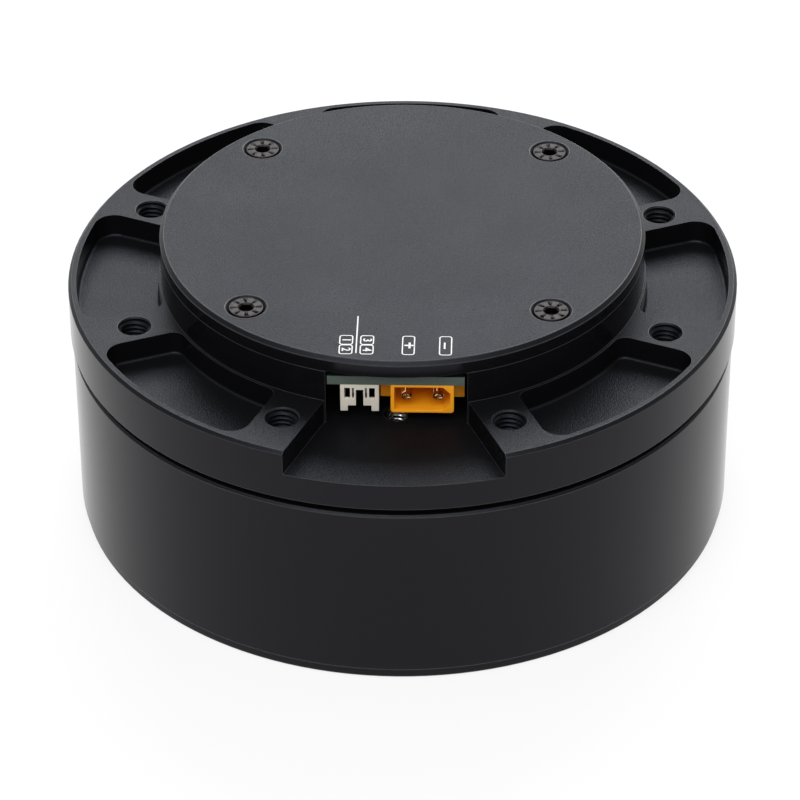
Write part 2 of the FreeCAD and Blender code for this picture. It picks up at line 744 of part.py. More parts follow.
def main_bearing():
    """Crossed rollers between a split pair of races with square grooves."""
    groove = "roller_radius * sqrt(2) + run_gap"
    middle = "plate_thick + bearing_width / 2"
    for label, side, far in (("main_bearing_outer_race", "+", "bearing_outer_radius"),
                             ("main_bearing_inner_race", "-", "bearing_inner_radius")):
        near = f"bearing_pitch_radius {side} bearing_split"
        reach = f"({groove} - bearing_split)"
        turned(label, [
            (near, "plate_thick"), (far, "plate_thick"), (far, "web_top"), (near, "web_top"),
            (near, f"{middle} + {reach}"), (f"bearing_pitch_radius {side} ({groove})", middle),
            (near, f"{middle} - {reach}")])
    rollers = []
    for index in range(int(SIZES["roller_count"])):
        radius = size("roller_radius")
        tilt = 45 if index % 2 else -45
        length = 2 * radius - size("hole_chamfer")
        roller = Part.makeCylinder(radius, length, Vector(0, 0, -length / 2))
        roller.rotate(Vector(), Vector(0, 1, 0), tilt)
        roller.translate(Vector(size("bearing_pitch_radius"), 0, size(middle)))
        roller.rotate(Vector(), Vector(0, 0, 1), TURN * index / SIZES["roller_count"])
        rollers.append(roller)
    plain_feature("main_bearing_rollers", Part.makeCompound(rollers))


# ---------------------------------------------------------------- gears

def toothed_outline(teeth, root_offset, tip_offset, thinner):
    """A gear outline with arc flanks through the root, pitch and tip of each tooth."""
    module = size("gear_module")
    pitch = module * teeth / 2
    pressure = math.radians(20)
    base = pitch * math.cos(pressure)

    def half_angle(radius):
        if radius < base:
            radius = base
        lean = math.acos(base / radius)
        involute = math.tan(lean) - lean
        return math.pi / (2 * teeth) - thinner / pitch + (math.tan(pressure) - pressure) - involute

    def place(radius, angle):
        return Vector(radius * math.cos(angle), radius * math.sin(angle), 0)

    root = pitch + root_offset
    tip = pitch + tip_offset
    edges = []
    for index in range(teeth):
        centre = math.tau * index / teeth
        following = math.tau * (index + 1) / teeth
        rise = [place(radius, centre - half_angle(radius)) for radius in (root, pitch, tip)]
        fall = [place(radius, centre + half_angle(radius)) for radius in (tip, pitch, root)]
        edges.append(Part.Arc(*rise).toShape())
        edges.append(Part.Arc(rise[2], place(tip, centre), fall[0]).toShape())
        edges.append(Part.Arc(*fall).toShape())
        next_start = place(root, following - half_angle(root))
        edges.append(Part.Arc(fall[2], place(root, (centre + following) / 2), next_start).toShape())
    return Part.Face(Part.Wire(edges))


def gears():
    """Sun shaft, planets with their bushes, and the fixed ring gear."""
    module = size("gear_module")
    width = size("gear_width")
    low = Vector(0, 0, size("gear_bottom"))
    slack = size("gear_backlash") / 2
    addendum = size("tooth_height") * module
    dedendum = size("tooth_depth") * module

    sun = toothed_outline(int(SIZES["sun_teeth"]), -dedendum, addendum, slack)
    sun.translate(low)
    shaft_line = [
        (0, size("bush_bottom + seat_gap")),
        (size("pilot_journal_radius"), size("bush_bottom + seat_gap")),
        (size("pilot_journal_radius"), size("gear_bottom - seat_gap")),
        (size("sun_root_radius - run_gap"), size("gear_bottom - seat_gap")),
        (size("sun_root_radius - run_gap"), size("rear_plate_bottom")),
        (size("hub_bore_radius - sun_shoulder"), size("rear_plate_bottom + sun_shoulder / 2")),
        (size("hub_bore_radius - sun_shoulder"), size("hub_web_bottom - seat_gap")),
        (size("hub_bore_radius"), size("hub_web_bottom - seat_gap")),
        (size("hub_bore_radius"), size("hub_web_top")),
        (size("hub_flange_radius"), size("hub_web_top")),
        (size("hub_flange_radius"), size("hub_web_top + hub_flange_thick")),
        (size("shaft_neck_radius"), size("hub_web_top + hub_flange_thick")),
        (size("shaft_neck_radius"), size("underside")),
        (size("rear_journal_radius"), size("underside")),
        (size("rear_journal_radius"), size("shaft_end")),
        (size("encoder_magnet_radius"), size("shaft_end")),
        (size("encoder_magnet_radius"), size("encoder_magnet_bottom")),
        (0, size("encoder_magnet_bottom")),
    ]
    wire = Part.makePolygon([Vector(x, 0, z) for x, z in shaft_line] + [Vector(0, 0, shaft_line[0][1])])
    shaft = Part.Face(wire).revolve(Vector(), Vector(0, 0, 1), TURN)
    shaft = shaft.fuse(sun.extrude(Vector(0, 0, width))).removeSplitter()
    clear = size("small_screw_radius + screw_gap")
    for index in range(4):
        turn = math.radians(45 + 90 * index)
        pitch = size("hub_screw_pitch")
        place = Vector(pitch * math.cos(turn), pitch * math.sin(turn), size("hub_web_top"))
        shaft = shaft.cut(Part.makeCylinder(clear, size("hub_flange_thick"), place))
    plain_feature("sun_shaft", shaft)

    planet = toothed_outline(int(SIZES["planet_teeth"]), -dedendum, addendum, slack)
    planet.rotate(Vector(), Vector(0, 0, 1), 180 / SIZES["planet_teeth"])
    planet.translate(low)
    planet = planet.extrude(Vector(0, 0, width))
    planet = planet.cut(Part.makeCylinder(size("planet_bore"), width, low))
    bush = Part.makeCylinder(size("planet_bore"), width, low)
    bush = bush.cut(Part.makeCylinder(size("planet_pin_radius + run_gap / 2"), width, low))
    planets = int(SIZES["planet_count"])
    for index in range(planets):
        out = Placement(Vector(), Rotation(Vector(0, 0, 1), TURN / planets * index)).multiply(
            Placement(Vector(size("centre_distance"), 0, 0), Rotation()))
        plain_feature(f"planet_gear_{index + 1}", planet, out)
        plain_feature(f"planet_bush_{index + 1}", bush, out)

    ring_teeth = int(size("ring_teeth"))
    inside = toothed_outline(ring_teeth, -addendum, dedendum, -slack)
    inside.rotate(Vector(), Vector(0, 0, 1), 180 / ring_teeth)
    inside.translate(Vector(0, 0, size("carrier_top")))
    height = size("rear_plate_bottom - carrier_top")
    barrel = Part.makeCylinder(size("ring_gear_radius"), height, Vector(0, 0, size("carrier_top")))
    barrel = barrel.cut(inside.extrude(Vector(0, 0, height)))
    thick = size("carrier_thick")
    foot = Part.makeCylinder(size("ring_flange_radius"), thick, Vector(0, 0, size("web_top")))
    foot = foot.cut(Part.makeCylinder(size("ring_flange_bore"), thick, Vector(0, 0, size("web_top"))))
    for index in range(6):
        turn = math.radians(30 + 60 * index)
        pitch = size("ring_screw_pitch")
        x, y = pitch * math.cos(turn), pitch * math.sin(turn)
        mouth = size("small_head_radius + head_gap")
        foot = foot.cut(Part.makeCylinder(clear, thick, Vector(x, y, size("web_top"))))
        foot = foot.cut(Part.makeCone(clear, mouth, mouth - clear,
                                      Vector(x, y, size("carrier_top") - (mouth - clear))))
    plain_feature("ring_gear", barrel.fuse(foot).removeSplitter())
    screws("ring_gear_screws", "ring_screw_pitch", "30", "6", "small_screw_radius", "small_head_radius",
           "carrier_top - head_gap", "web_top - small_screw_grip", "small_key")


# ---------------------------------------------------------------- output side

def output_side():
    body = turned("output_flange", [
        ("output_pilot_radius", "output_recess"), ("output_lip_radius", "output_recess"),
        ("output_lip_radius", "plate_thick"), ("bearing_inner_radius", "plate_thick"),
        ("bearing_inner_radius", "web_top"), ("pilot_bush_radius", "web_top"),
        ("pilot_bush_radius", "bush_bottom"), ("0", "bush_bottom"),
        ("0", "output_recess + output_pilot_depth"),
        ("output_pilot_radius", "output_recess + output_pilot_depth")])
    bore(body, "output_hole_pitch", "0", "6",
         drilled_hole("output_hole_radius", "output_recess", "output_seat",
                      "output_hole_radius + hole_chamfer"))
    bore(body, "dowel_pitch", "30", "2", straight_hole("dowel_radius", "output_recess", "output_seat - 1"))
    bore(body, "output_screw_pitch", "30", "6",
         drilled_hole(MEDIUM_TAPPED, "web_top", "web_top - medium_screw_grip - hole_spare"))

    body = ring("planet_carrier", "pilot_bush_radius", "carrier_radius", "web_top", "carrier_top")
    pillars = flat_sketch(body, "carrier_top")
    x, y = polar("pillar_pitch_radius", PILLAR_ANGLE)
    circle(pillars, "pillar_radius", x, y)
    around(body, [extrude(body, pillars, "rear_plate_bottom - carrier_top")], "planet_count")
    bore(body, "pillar_pitch_radius", PILLAR_ANGLE, "planet_count",
         drilled_hole(MEDIUM_TAPPED, "rear_plate_bottom",
                      "rear_plate_bottom - medium_screw_grip - hole_spare"))
    bore(body, "centre_distance", "0", "planet_count",
         straight_hole("planet_pin_radius", "web_top", "carrier_top"))
    countersunk_bore(body, "output_screw_pitch", "30", "6", MEDIUM_CLEAR, "medium_head_radius + head_gap",
                     "web_top", "carrier_top")
    screws("output_flange_screws", "output_screw_pitch", "30", "6", "medium_screw_radius",
           "medium_head_radius", "carrier_top - head_gap", "web_top - medium_screw_grip", "medium_key")

    body = ring("carrier_rear_plate", "hub_bore_radius + gear_side_gap", "carrier_rear_radius",
                "rear_plate_bottom", "rear_plate_top")
    bore(body, "centre_distance", "0", "planet_count",
         straight_hole("planet_pin_radius", "rear_plate_bottom", "rear_plate_top"))
    countersunk_bore(body, "pillar_pitch_radius", PILLAR_ANGLE, "planet_count", MEDIUM_CLEAR,
                     "medium_head_radius + head_gap", "rear_plate_bottom", "rear_plate_top")
    screws("carrier_screws", "pillar_pitch_radius", PILLAR_ANGLE, "planet_count", "medium_screw_radius",
           "medium_head_radius", "rear_plate_top - head_gap", "rear_plate_bottom - medium_screw_grip",
           "medium_key")

    body = new_body("planet_pins")
    sketch = flat_sketch(body, "web_top + seat_gap")
    circle(sketch, "planet_pin_radius", "centre_distance", "0")
    around(body, [extrude(body, sketch, "rear_plate_top - web_top - 2 * seat_gap")], "planet_count")

    body = new_body("planet_washers")
    features = []
    for low in ("carrier_top", "gear_top + run_gap"):
        sketch = flat_sketch(body, low)
        circle(sketch, "washer_radius", "centre_distance", "0")
        circle(sketch, "planet_pin_radius + run_gap", "centre_distance", "0")
        features.append(extrude(body, sketch, "gear_side_gap - run_gap"))
    around(body, features, "planet_count")

    ring("pilot_bush", "pilot_journal_radius + run_gap / 2", "pilot_bush_radius", "bush_bottom",
         "carrier_top")


# ---------------------------------------------------------------- motor

def stator():
    """Laminated core with slots, end insulators, coils and the three phase leads."""
    body = ring("stator_core", "stator_bore_radius", "drum_bore_radius - fit_gap", "stack_bottom",
                "stack_top")
    sketch = flat_sketch(body, "stack_top")
    tip = "stator_bore_radius + tooth_tip_thick"
    back = "drum_bore_radius - yoke_thick"
    half_pitch = "180 / slot_count"
    near = f"(({tip}) * tan({half_pitch}) - tooth_width / 2 / cos({half_pitch}))"
    far = f"(({back}) * tan({half_pitch}) - tooth_width / 2 / cos({half_pitch}))"
    outline(sketch, [
        ("stator_bore_radius - 1", "-slot_mouth / 2"), (tip, "-slot_mouth / 2"), (tip, f"-{near}"),
        (back, f"-{far}"), (back, far), (tip, near), (tip, "slot_mouth / 2"),
        ("stator_bore_radius - 1", "slot_mouth / 2")])
    around(body, [extrude(body, sketch, "stack_height", cut=True, upwards=False)], "slot_count")

    for label, low in (("stator_insulator_front", "stack_bottom - insulation"),
                       ("stator_insulator_rear", "stack_top")):
        body = ring(label, back, "spigot_inner - seat_gap", low, f"{low} + insulation")
        sketch = flat_sketch(body, low)
        rectangle(sketch, "stator_bore_radius + seat_gap", f"{back} + seat_gap", "-tooth_width / 2",
                  "tooth_width / 2")
        around(body, [extrude(body, sketch, "insulation")], "slot_count")

    body = new_body("stator_coils")
    sketch = body.newObject("Sketcher::SketchObject", "stator_coils_side")
    sketch.AttachmentSupport = [(origin_part(body, "YZ_Plane"), "")]
    sketch.MapMode = "FlatFace"
    sketch.AttachmentOffset = Placement(Vector(), Rotation())
    sketch.setExpression("AttachmentOffset.Base.z", bound("coil_inner_radius"))
    inner_half = "tooth_width / 2 + run_gap"
    inner_low = "stack_bottom - insulation - run_gap"
    inner_high = "stack_top + insulation + run_gap"
    rectangle(sketch, f"-({inner_half} + coil_thick)", f"{inner_half} + coil_thick",
              f"{inner_low} - coil_thick", f"{inner_high} + coil_thick")
    rectangle(sketch, f"-({inner_half})", inner_half, inner_low, inner_high)
    coil = extrude(body, sketch, "coil_outer_radius - coil_inner_radius")
    around(body, [coil], "slot_count")
    body.Placement = Placement(Vector(), Rotation(Vector(0, 0, 1), size(half_pitch)))

    for name in ("stator_insulator_front", "stator_insulator_rear"):
        doc.getObject(name).Placement = Placement(Vector(), Rotation(Vector(0, 0, 1), size(half_pitch)))

    body = new_body("phase_leads")
    sketch = flat_sketch(body, "stack_top + insulation + run_gap + coil_thick")
    for step in (-1, 0, 1):
        x, y = polar("lead_pitch_radius", f"(90 + ({step}) * lead_spacing)")
        circle(sketch, "lead_radius", x, y)
    extrude(body, sketch, "board_bottom - (stack_top + insulation + run_gap + coil_thick)")


def rotor():
    """Hub with its back iron, magnets, hub screws, encoder magnet in its holder."""
    body = turned("rotor_hub", [
        ("hub_bore_radius", "hub_web_bottom"), ("back_iron_bore", "hub_web_bottom"),
        ("back_iron_bore", "stack_bottom"), ("back_iron_radius", "stack_bottom"),
        ("back_iron_radius", "stack_top"), ("back_iron_bore", "stack_top"),
        ("back_iron_bore", "hub_web_top"), ("hub_bore_radius", "hub_web_top")])
    bore(body, "hub_screw_pitch", "45", "4", straight_hole(SMALL_TAPPED, "hub_web_bottom", "hub_web_top"))
    bore(body, "(back_iron_bore + hub_flange_radius) / 2", "30", "6",
         straight_hole("hub_window_radius", "hub_web_bottom", "hub_web_top"))
    screws("hub_screws", "hub_screw_pitch", "45", "4", "small_screw_radius", "small_head_radius",
           "hub_web_top + hub_flange_thick + small_head_height", "hub_web_bottom", "small_key",
           "small_head_height")

    body = new_body("rotor_magnets")
    sketch = flat_sketch(body, "stack_bottom")
    half_turn = "180 / magnet_count"
    sector(sketch, "back_iron_radius", "magnet_radius", "magnet_gap / 2", 0.0, half_turn)
    around(body, [extrude(body, sketch, "stack_height")], "magnet_count")

    body = turned("encoder_magnet_holder", [
        ("encoder_magnet_radius", "shaft_end"), ("encoder_holder_radius", "shaft_end"),
        ("encoder_holder_radius", "encoder_magnet_top - gear_side_gap"),
        ("encoder_magnet_radius", "encoder_magnet_top - gear_side_gap")])
    turned("encoder_magnet", [
        ("0", "encoder_magnet_bottom"), ("encoder_magnet_radius", "encoder_magnet_bottom"),
        ("encoder_magnet_radius", "encoder_magnet_top"), ("0", "encoder_magnet_top")])


def rear_bearing():
    """Deep groove ball bearing for the rotor, its cage, and the preload washer above it."""
    pitch = "(rear_bearing_radius + rear_journal_radius) / 2"
    low = "underside"
    high = "underside + rear_bearing_width"
    middle = "underside + rear_bearing_width / 2"
    for label, inner, outer in (
            ("rear_bearing_outer_race", f"{pitch} + race_gap", "rear_bearing_radius"),
            ("rear_bearing_inner_race", "rear_journal_radius", f"{pitch} - race_gap")):
        body = ring(label, inner, outer, low, high)
        sketch = upright_sketch(body)
        circle(sketch, "ball_radius + run_gap", pitch, middle)
        revolve(body, sketch, cut=True)
    balls = []
    sockets = []
    for index in range(int(SIZES["ball_count"])):
        turn = math.tau * index / SIZES["ball_count"]
        place = Vector(size(pitch) * math.cos(turn), size(pitch) * math.sin(turn), size(middle))
        balls.append(Part.makeSphere(size("ball_radius"), place))
        outwards = Vector(math.cos(turn), math.sin(turn), 0)
        wall = size("cage_thick")
        sockets.append(Part.makeCylinder(size("ball_radius + fit_gap"), 2 * wall, place - outwards * wall,
                                         outwards))
    plain_feature("rear_bearing_balls", Part.makeCompound(balls))
    cage_height = 2 * size("ball_radius") + size("cage_thick")
    low_point = Vector(0, 0, size(middle) - cage_height / 2)
    half = size("cage_thick / 2")
    cage = Part.makeCylinder(size(pitch) + half, cage_height, low_point)
    cage = cage.cut(Part.makeCylinder(size(pitch) - half, cage_height, low_point))
    plain_feature("rear_bearing_cage", cage.cut(sockets))
    ring("preload_washer", "lip_radius + seat_gap", "rear_bearing_radius - run_gap", high,
         "bearing_seat_top")


# ---------------------------------------------------------------- electronics

def driver_board():
    body = new_body("driver_board")
    sketch = flat_sketch(body, "board_bottom")
    circle(sketch, "board_radius")
    extrude(body, sketch, "board_thick")
    tab = flat_sketch(body, "board_bottom")
    rectangle(tab, "-board_tab_left", "board_tab_right", "-board_front", "-board_front + 15")
    extrude(body, tab, "board_thick")
    bore(body, "cover_screw_pitch", "45", "4",
         straight_hole("post_radius + post_clearance", "board_bottom", "board_top"))
    for angle in ("0", "90", "180"):
        bore(body, "standoff_pitch", angle, "1",
             straight_hole("small_screw_radius + screw_gap", "board_bottom", "board_top"))

    body = new_body("board_screws")
    for angle in ("0", "90", "180"):
        sketch = upright_sketch(body, "standoff_pitch", angle)
        tip = "board_bottom - small_screw_grip"
        top = "board_top + board_gap_above - seat_gap"
        outline(sketch, [("0", tip), ("small_screw_radius", tip), ("small_screw_radius", "board_top"),
                         ("small_head_radius", "board_top"), ("small_head_radius", top), ("0", top)])
        revolve(body, sketch)


def block_row(label, level, height, places, width, length):
    """Box-shaped chips of one size on the board, at x and y places."""
    body = new_body(label)
    for x, y in places:
        sketch = flat_sketch(body, level)
        rectangle(sketch, f"{x} - ({width}) / 2", f"{x} + ({width}) / 2", f"{y} - ({length}) / 2",
                  f"{y} + ({length}) / 2")
        extrude(body, sketch, height)
    return body


def board_parts():
    """Chips and capacitors on both sides of the board, and the pad that carries heat to the cover."""
    below = "board_bottom - chip_height"
    power_places = [(x, y) for y in ("10", "18") for x in ("-9", "0", "9")]
    block_row("power_chips", "board_top", "board_gap_above - pad_thick", power_places, "5", "6")
    block_row("thermal_pad", "boss_top - pad_thick", "pad_thick", [("0", "14")], "26", "17")
    block_row("motor_controller_chip", below, "chip_height", [("15", "-8")], "7", "7")
    block_row("gate_driver_chip", below, "chip_height", [("-13", "10")], "6", "6")
    block_row("encoder_chip", below, "chip_height", [("0", "0")], "3", "3")
    shunt_places = [("-9", "26"), ("0", "26"), ("9", "26")]
    block_row("current_shunts", "board_top", "board_gap_above - pad_thick", shunt_places, "3.2", "1.6")
    body = new_body("bulk_capacitors")
    sketch = flat_sketch(body, "board_bottom - capacitor_height")
    for x, y in (("-20", "-8"), ("-20", "0"), ("20", "4"), ("20", "12")):
        circle(sketch, "capacitor_radius", x, y)
    extrude(body, sketch, "capacitor_height")


def power_connector():
    """Two-pole shell open to the front, hung under the board, with two of its corners cut off."""
    left = "power_centre - power_width / 2"
    right = "power_centre + power_width / 2"
    low = "board_bottom - power_height"
    face = "board_front"
    body = new_body("power_connector")
    sketch = front_sketch(body, "board_front - power_length")
    rectangle(sketch, left, right, low, "board_bottom")
    extrude(body, sketch, "power_length")
    bottom = size(low)
    round_edges(body, "power_round", lambda edge: (
        abs(edge.Length - edge.BoundBox.YLength) < TOUCH and edge.BoundBox.ZMax < bottom + TOUCH))
    ear = front_sketch(body, "board_front - power_ear_set_back")
    rectangle(ear, "power_centre - power_ear_width / 2", "power_centre + power_ear_width / 2",
              "board_bottom - power_ear_height", "board_bottom")
    extrude(body, ear, "power_ear_length", upwards=False)
    socket = front_sketch(body, face)
    inner_left, inner_right = f"{left} + power_wall", f"{right} - power_wall"
    inner_low, inner_high = f"{low} + power_lip", "board_bottom - power_lip"
    outline(socket, [
        (inner_left, inner_low),
        (f"{inner_right} - power_corner", inner_low),
        (inner_right, f"{inner_low} + power_corner"),
        (inner_right, f"{inner_high} - power_corner"),
        (f"{inner_right} - power_corner", inner_high),
        (inner_left, inner_high)])
    extrude(body, socket, "power_length - power_floor", cut=True, upwards=False)
    middle = "board_bottom - power_height / 2"
    pins = new_body("power_pins")
    tip = "board_front - power_pin_set_back"
    for side in ("-", "+"):
        centre = f"power_centre {side} power_pin_pitch / 2"
        sketch = front_sketch(pins, "board_front - power_length + power_floor")
        circle(sketch, "power_pin_radius", centre, middle)
        extrude(pins, sketch, "power_length - power_floor - power_pin_set_back")
        for half_width, half_height in (("pin_split / 2", "(power_pin_radius + seat_gap)"),
                                        ("(power_pin_radius + seat_gap)", "pin_split / 2")):
            split = front_sketch(pins, tip)
            rectangle(split, f"{centre} - {half_width}", f"{centre} + {half_width}",
                      f"{middle} - {half_height}", f"{middle} + {half_height}")
            extrude(pins, split, "pin_split_depth", cut=True, upwards=False)


def signal_connector():
    """Two-pin side-entry header: two feet, a window and a slit in each half, a gap between them, and a
    hollow behind the thin front."""
    left = "signal_centre - signal_width / 2"
    right = "signal_centre + signal_width / 2"
    low = "board_bottom - signal_height"
    body = new_body("signal_connector")
    sketch = front_sketch(body, "board_front - signal_length")
    rectangle(sketch, left, right, low, "board_bottom")
    extrude(body, sketch, "signal_length")
    between = front_sketch(body, "board_front")
    rectangle(between, "signal_centre - signal_gap_half", "signal_centre + signal_gap_half",
              f"{low} - seat_gap", "board_bottom - signal_bridge")
    extrude(body, between, "signal_length - signal_back", cut=True, upwards=False)
    under = front_sketch(body, "board_front")
    rectangle(under, f"{left} + signal_foot_width", f"{right} - signal_foot_width", f"{low} - seat_gap",
              f"{low} + signal_shelf")
    extrude(body, under, "signal_length - signal_back", cut=True, upwards=False)
    top = "board_bottom - signal_wall"
    hollow = front_sketch(body, "board_front - signal_front")
    rectangle(hollow, f"{left} + signal_wall", f"{right} - signal_wall", f"{low} - seat_gap", top)
    extrude(body, hollow, "signal_length - signal_front - signal_back", cut=True, upwards=False)
    for side in ("-", "+"):
        post = f"signal_centre {side} (signal_gap_half + signal_post_width)"
        wall = f"signal_centre {side} (signal_width / 2 - signal_wall)"
        window = front_sketch(body, "board_front")
        ends = (post, wall) if side == "+" else (wall, post)
        rectangle(window, *ends, f"{top} - signal_window_height", top)
        extrude(body, window, "signal_length - signal_back", cut=True, upwards=False)
        slit = front_sketch(body, "board_front")
        middle = f"signal_centre {side} signal_pin_pitch / 2"
        rectangle(slit, f"{middle} - signal_slit_width / 2", f"{middle} + signal_slit_width / 2",
                  f"{top} - signal_window_height", top)
        extrude(body, slit, "signal_length - signal_back", cut=True, upwards=False)
    pins = new_body("signal_pins")
    for side in ("-", "+"):
        sketch = front_sketch(pins, "board_front - signal_length + signal_back")
        centre = f"signal_centre {side} signal_pin_pitch / 2"
        rectangle(sketch, f"{centre} - signal_pin_width / 2", f"{centre} + signal_pin_width / 2",
                  f"{top} - signal_window_height + seat_gap", f"{top} - seat_gap")
        extrude(pins, sketch, "signal_length - 2 * signal_back")


# ---------------------------------------------------------------- build, check and write

def check_and_write():
    """Stops on any failed object or bad shape, then writes one file for each sub-part."""
    doc.recompute()
    for item in doc.Objects:
        if "Invalid" in item.State or "Error" in item.State:
            raise RuntimeError(f"{item.Name} failed: {item.State}")
    for piece in pieces:
        if piece.Shape.isNull() or not piece.Shape.isValid() or not piece.Shape.Solids:
            raise RuntimeError(f"{piece.Label} has no sound shape")
    os.makedirs(OUTPUT_FOLDER, exist_ok=True)
    for piece in pieces:
        piece.Shape.exportStep(os.path.join(OUTPUT_FOLDER, piece.Label + ".step"))
        print(f"{piece.Label}: {len(piece.Shape.Solids)} solids, {piece.Shape.Volume:.1f} mm3")
    print(f"{len(pieces)} sub-parts")


drum_shell()
rear_flange()
rear_cover()
front_plate()
seals()
main_bearing()
gears()
output_side()
stator()
rotor()
rear_bearing()
driver_board()
board_parts()
power_connector()
signal_connector()
check_and_write()
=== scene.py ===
import json
import math

import bmesh
import bpy
from mathutils import Matrix, Vector


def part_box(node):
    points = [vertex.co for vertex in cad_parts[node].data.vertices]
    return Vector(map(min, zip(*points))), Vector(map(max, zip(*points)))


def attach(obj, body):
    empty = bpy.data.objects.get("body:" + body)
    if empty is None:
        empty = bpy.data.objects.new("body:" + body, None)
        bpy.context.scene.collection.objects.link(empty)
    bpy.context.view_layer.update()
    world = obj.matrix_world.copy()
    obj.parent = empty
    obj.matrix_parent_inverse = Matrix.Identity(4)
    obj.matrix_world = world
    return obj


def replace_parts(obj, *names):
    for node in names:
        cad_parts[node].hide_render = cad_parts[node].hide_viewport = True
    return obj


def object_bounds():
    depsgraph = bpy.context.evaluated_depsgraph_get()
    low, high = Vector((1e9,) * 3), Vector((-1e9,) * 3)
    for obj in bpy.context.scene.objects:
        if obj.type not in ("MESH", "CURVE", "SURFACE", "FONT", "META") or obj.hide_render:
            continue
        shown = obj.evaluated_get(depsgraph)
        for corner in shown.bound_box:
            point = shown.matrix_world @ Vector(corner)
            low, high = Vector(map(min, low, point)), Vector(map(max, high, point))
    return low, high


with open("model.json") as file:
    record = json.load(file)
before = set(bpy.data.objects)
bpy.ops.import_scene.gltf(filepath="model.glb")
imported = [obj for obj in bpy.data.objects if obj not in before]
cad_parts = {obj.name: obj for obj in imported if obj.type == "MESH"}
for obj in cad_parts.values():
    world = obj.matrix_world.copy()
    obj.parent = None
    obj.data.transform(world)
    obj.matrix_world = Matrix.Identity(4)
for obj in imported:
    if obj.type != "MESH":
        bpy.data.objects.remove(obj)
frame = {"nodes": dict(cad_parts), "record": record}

# Robot joint actuator. The object rests on z = 0, its axis is Z, and its connector slot points to -Y.

MM = 0.001
TURN = math.tau
UP = Vector((0, 0, 1))
MERGE = 0.0005 * MM               # points closer than this are one point
SHARP = math.radians(32)          # faces that meet at more than this keep a crisp edge between them

cad_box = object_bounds()
COVER_TOP = cad_box[1].z
record = frame["record"]
nodes = frame["nodes"]
mounts = {mount["name"]: mount for mount in record["mounts"]}


# ---------------------------------------------------------------- finishes

def srgb(code):
    """The linear colour of an sRGB hex value."""
    parts = [int(code[start:start + 2], 16) / 255 for start in (0, 2, 4)]
    linear = [part / 12.92 if part <= 0.04045 else ((part + 0.055) / 1.055) ** 2.4 for part in parts]
    return (*linear, 1.0)


def add(tree, kind, inputs, **settings):
    """Adds a node. Each input is linked from a socket or set to a value."""
    node = tree.nodes.new(kind)
    for name, value in settings.items():
        setattr(node, name, value)
    for name, value in inputs.items():
        if isinstance(value, bpy.types.NodeSocket):
            tree.links.new(value, node.inputs[name])
        else:
            node.inputs[name].default_value = value
    return node


def empty_material(name):
    """A material with an empty node tree, and the object coordinates its patterns follow."""
    made = bpy.data.materials.new(name)
    made.use_nodes = True
    made.node_tree.nodes.clear()
    place = add(made.node_tree, "ShaderNodeTexCoord", {})
    return made, made.node_tree, place


def finish_material(tree, inputs):
    """Adds the surface shader and the output."""
    shader = add(tree, "ShaderNodeBsdfPrincipled", inputs)
    add(tree, "ShaderNodeOutputMaterial", {"Surface": shader.outputs[0]})


def anodised(name, body_colour):
    """Aluminium, bead blasted on its flat faces and turned on its sides, then dyed black and sealed.
    The eye sees a near-black body under a thin clear skin: fine grain on top, satin sides, and a painted
    reflection tint that is bluer on flat faces than on the sides."""
    made, tree, place = empty_material(name)
    grain = add(tree, "ShaderNodeTexNoise", {
        "Vector": place.outputs["Object"], "Scale": 1 / (0.24 * MM), "Detail": 1.0, "Roughness": 0.5})
    cloud = add(tree, "ShaderNodeTexNoise", {
        "Vector": place.outputs["Object"], "Scale": 1 / (14 * MM), "Detail": 2.0})
    facing = add(tree, "ShaderNodeSeparateXYZ", {"Vector": place.outputs["Normal"]})
    flat = add(tree, "ShaderNodeMath", {0: facing.outputs["Z"]}, operation="ABSOLUTE")
    blasted = add(tree, "ShaderNodeMapRange", {
        "Value": flat.outputs[0], "From Min": 0.3, "From Max": 0.9, "To Min": 0.15, "To Max": 0.43})
    uneven = add(tree, "ShaderNodeMapRange", {
        "Value": cloud.outputs["Fac"], "From Min": 0.3, "From Max": 0.7, "To Min": -0.02, "To Max": 0.02})
    rough = add(tree, "ShaderNodeMath", {0: blasted.outputs[0], 1: uneven.outputs[0]}, operation="ADD")
    # Painted reflection tint: the specular colour is bluer on flat faces and violet-grey on the sides, set by
    # which way a face points.
    painted_reflection_tint = add(tree, "ShaderNodeMix", {
        "Factor": flat.outputs[0], "A": srgb("f2ecff"), "B": srgb("d9e8ff")}, data_type="RGBA")
    height = add(tree, "ShaderNodeMath", {0: grain.outputs["Fac"], 1: flat.outputs[0]}, operation="MULTIPLY")
    relief = add(tree, "ShaderNodeBump", {
        "Height": height.outputs[0], "Strength": 1.0, "Distance": 0.075 * MM})
    finish_material(tree, {
        "Base Color": srgb(body_colour), "Roughness": rough.outputs[0], "IOR": 1.27,
        "Specular Tint": painted_reflection_tint.outputs["Result"],
        "Normal": relief.outputs[0]})
    return made


def worn_edge():
    """A lighter, uneven grey base colour for the rounds on sharp edges: a painted highlight, so the eye sees
    a fine grey line there, brighter than the faces.
    """
    made, tree, place = empty_material("anodised edge with painted highlight")
    highlight_patches = add(tree, "ShaderNodeTexNoise", {
        "Vector": place.outputs["Object"], "Scale": 1 / (1.5 * MM), "Detail": 3.0})
    # Painted highlight: the rounds' base colour is a lighter grey than the faces, uneven along the edge.
    tone = add(tree, "ShaderNodeMix", {
        "Factor": highlight_patches.outputs["Fac"], "A": srgb("101012"), "B": srgb("303134")}, data_type="RGBA")
    finish_material(tree, {"Base Color": tone.outputs["Result"], "Roughness": 0.32, "IOR": 1.35})
    return made


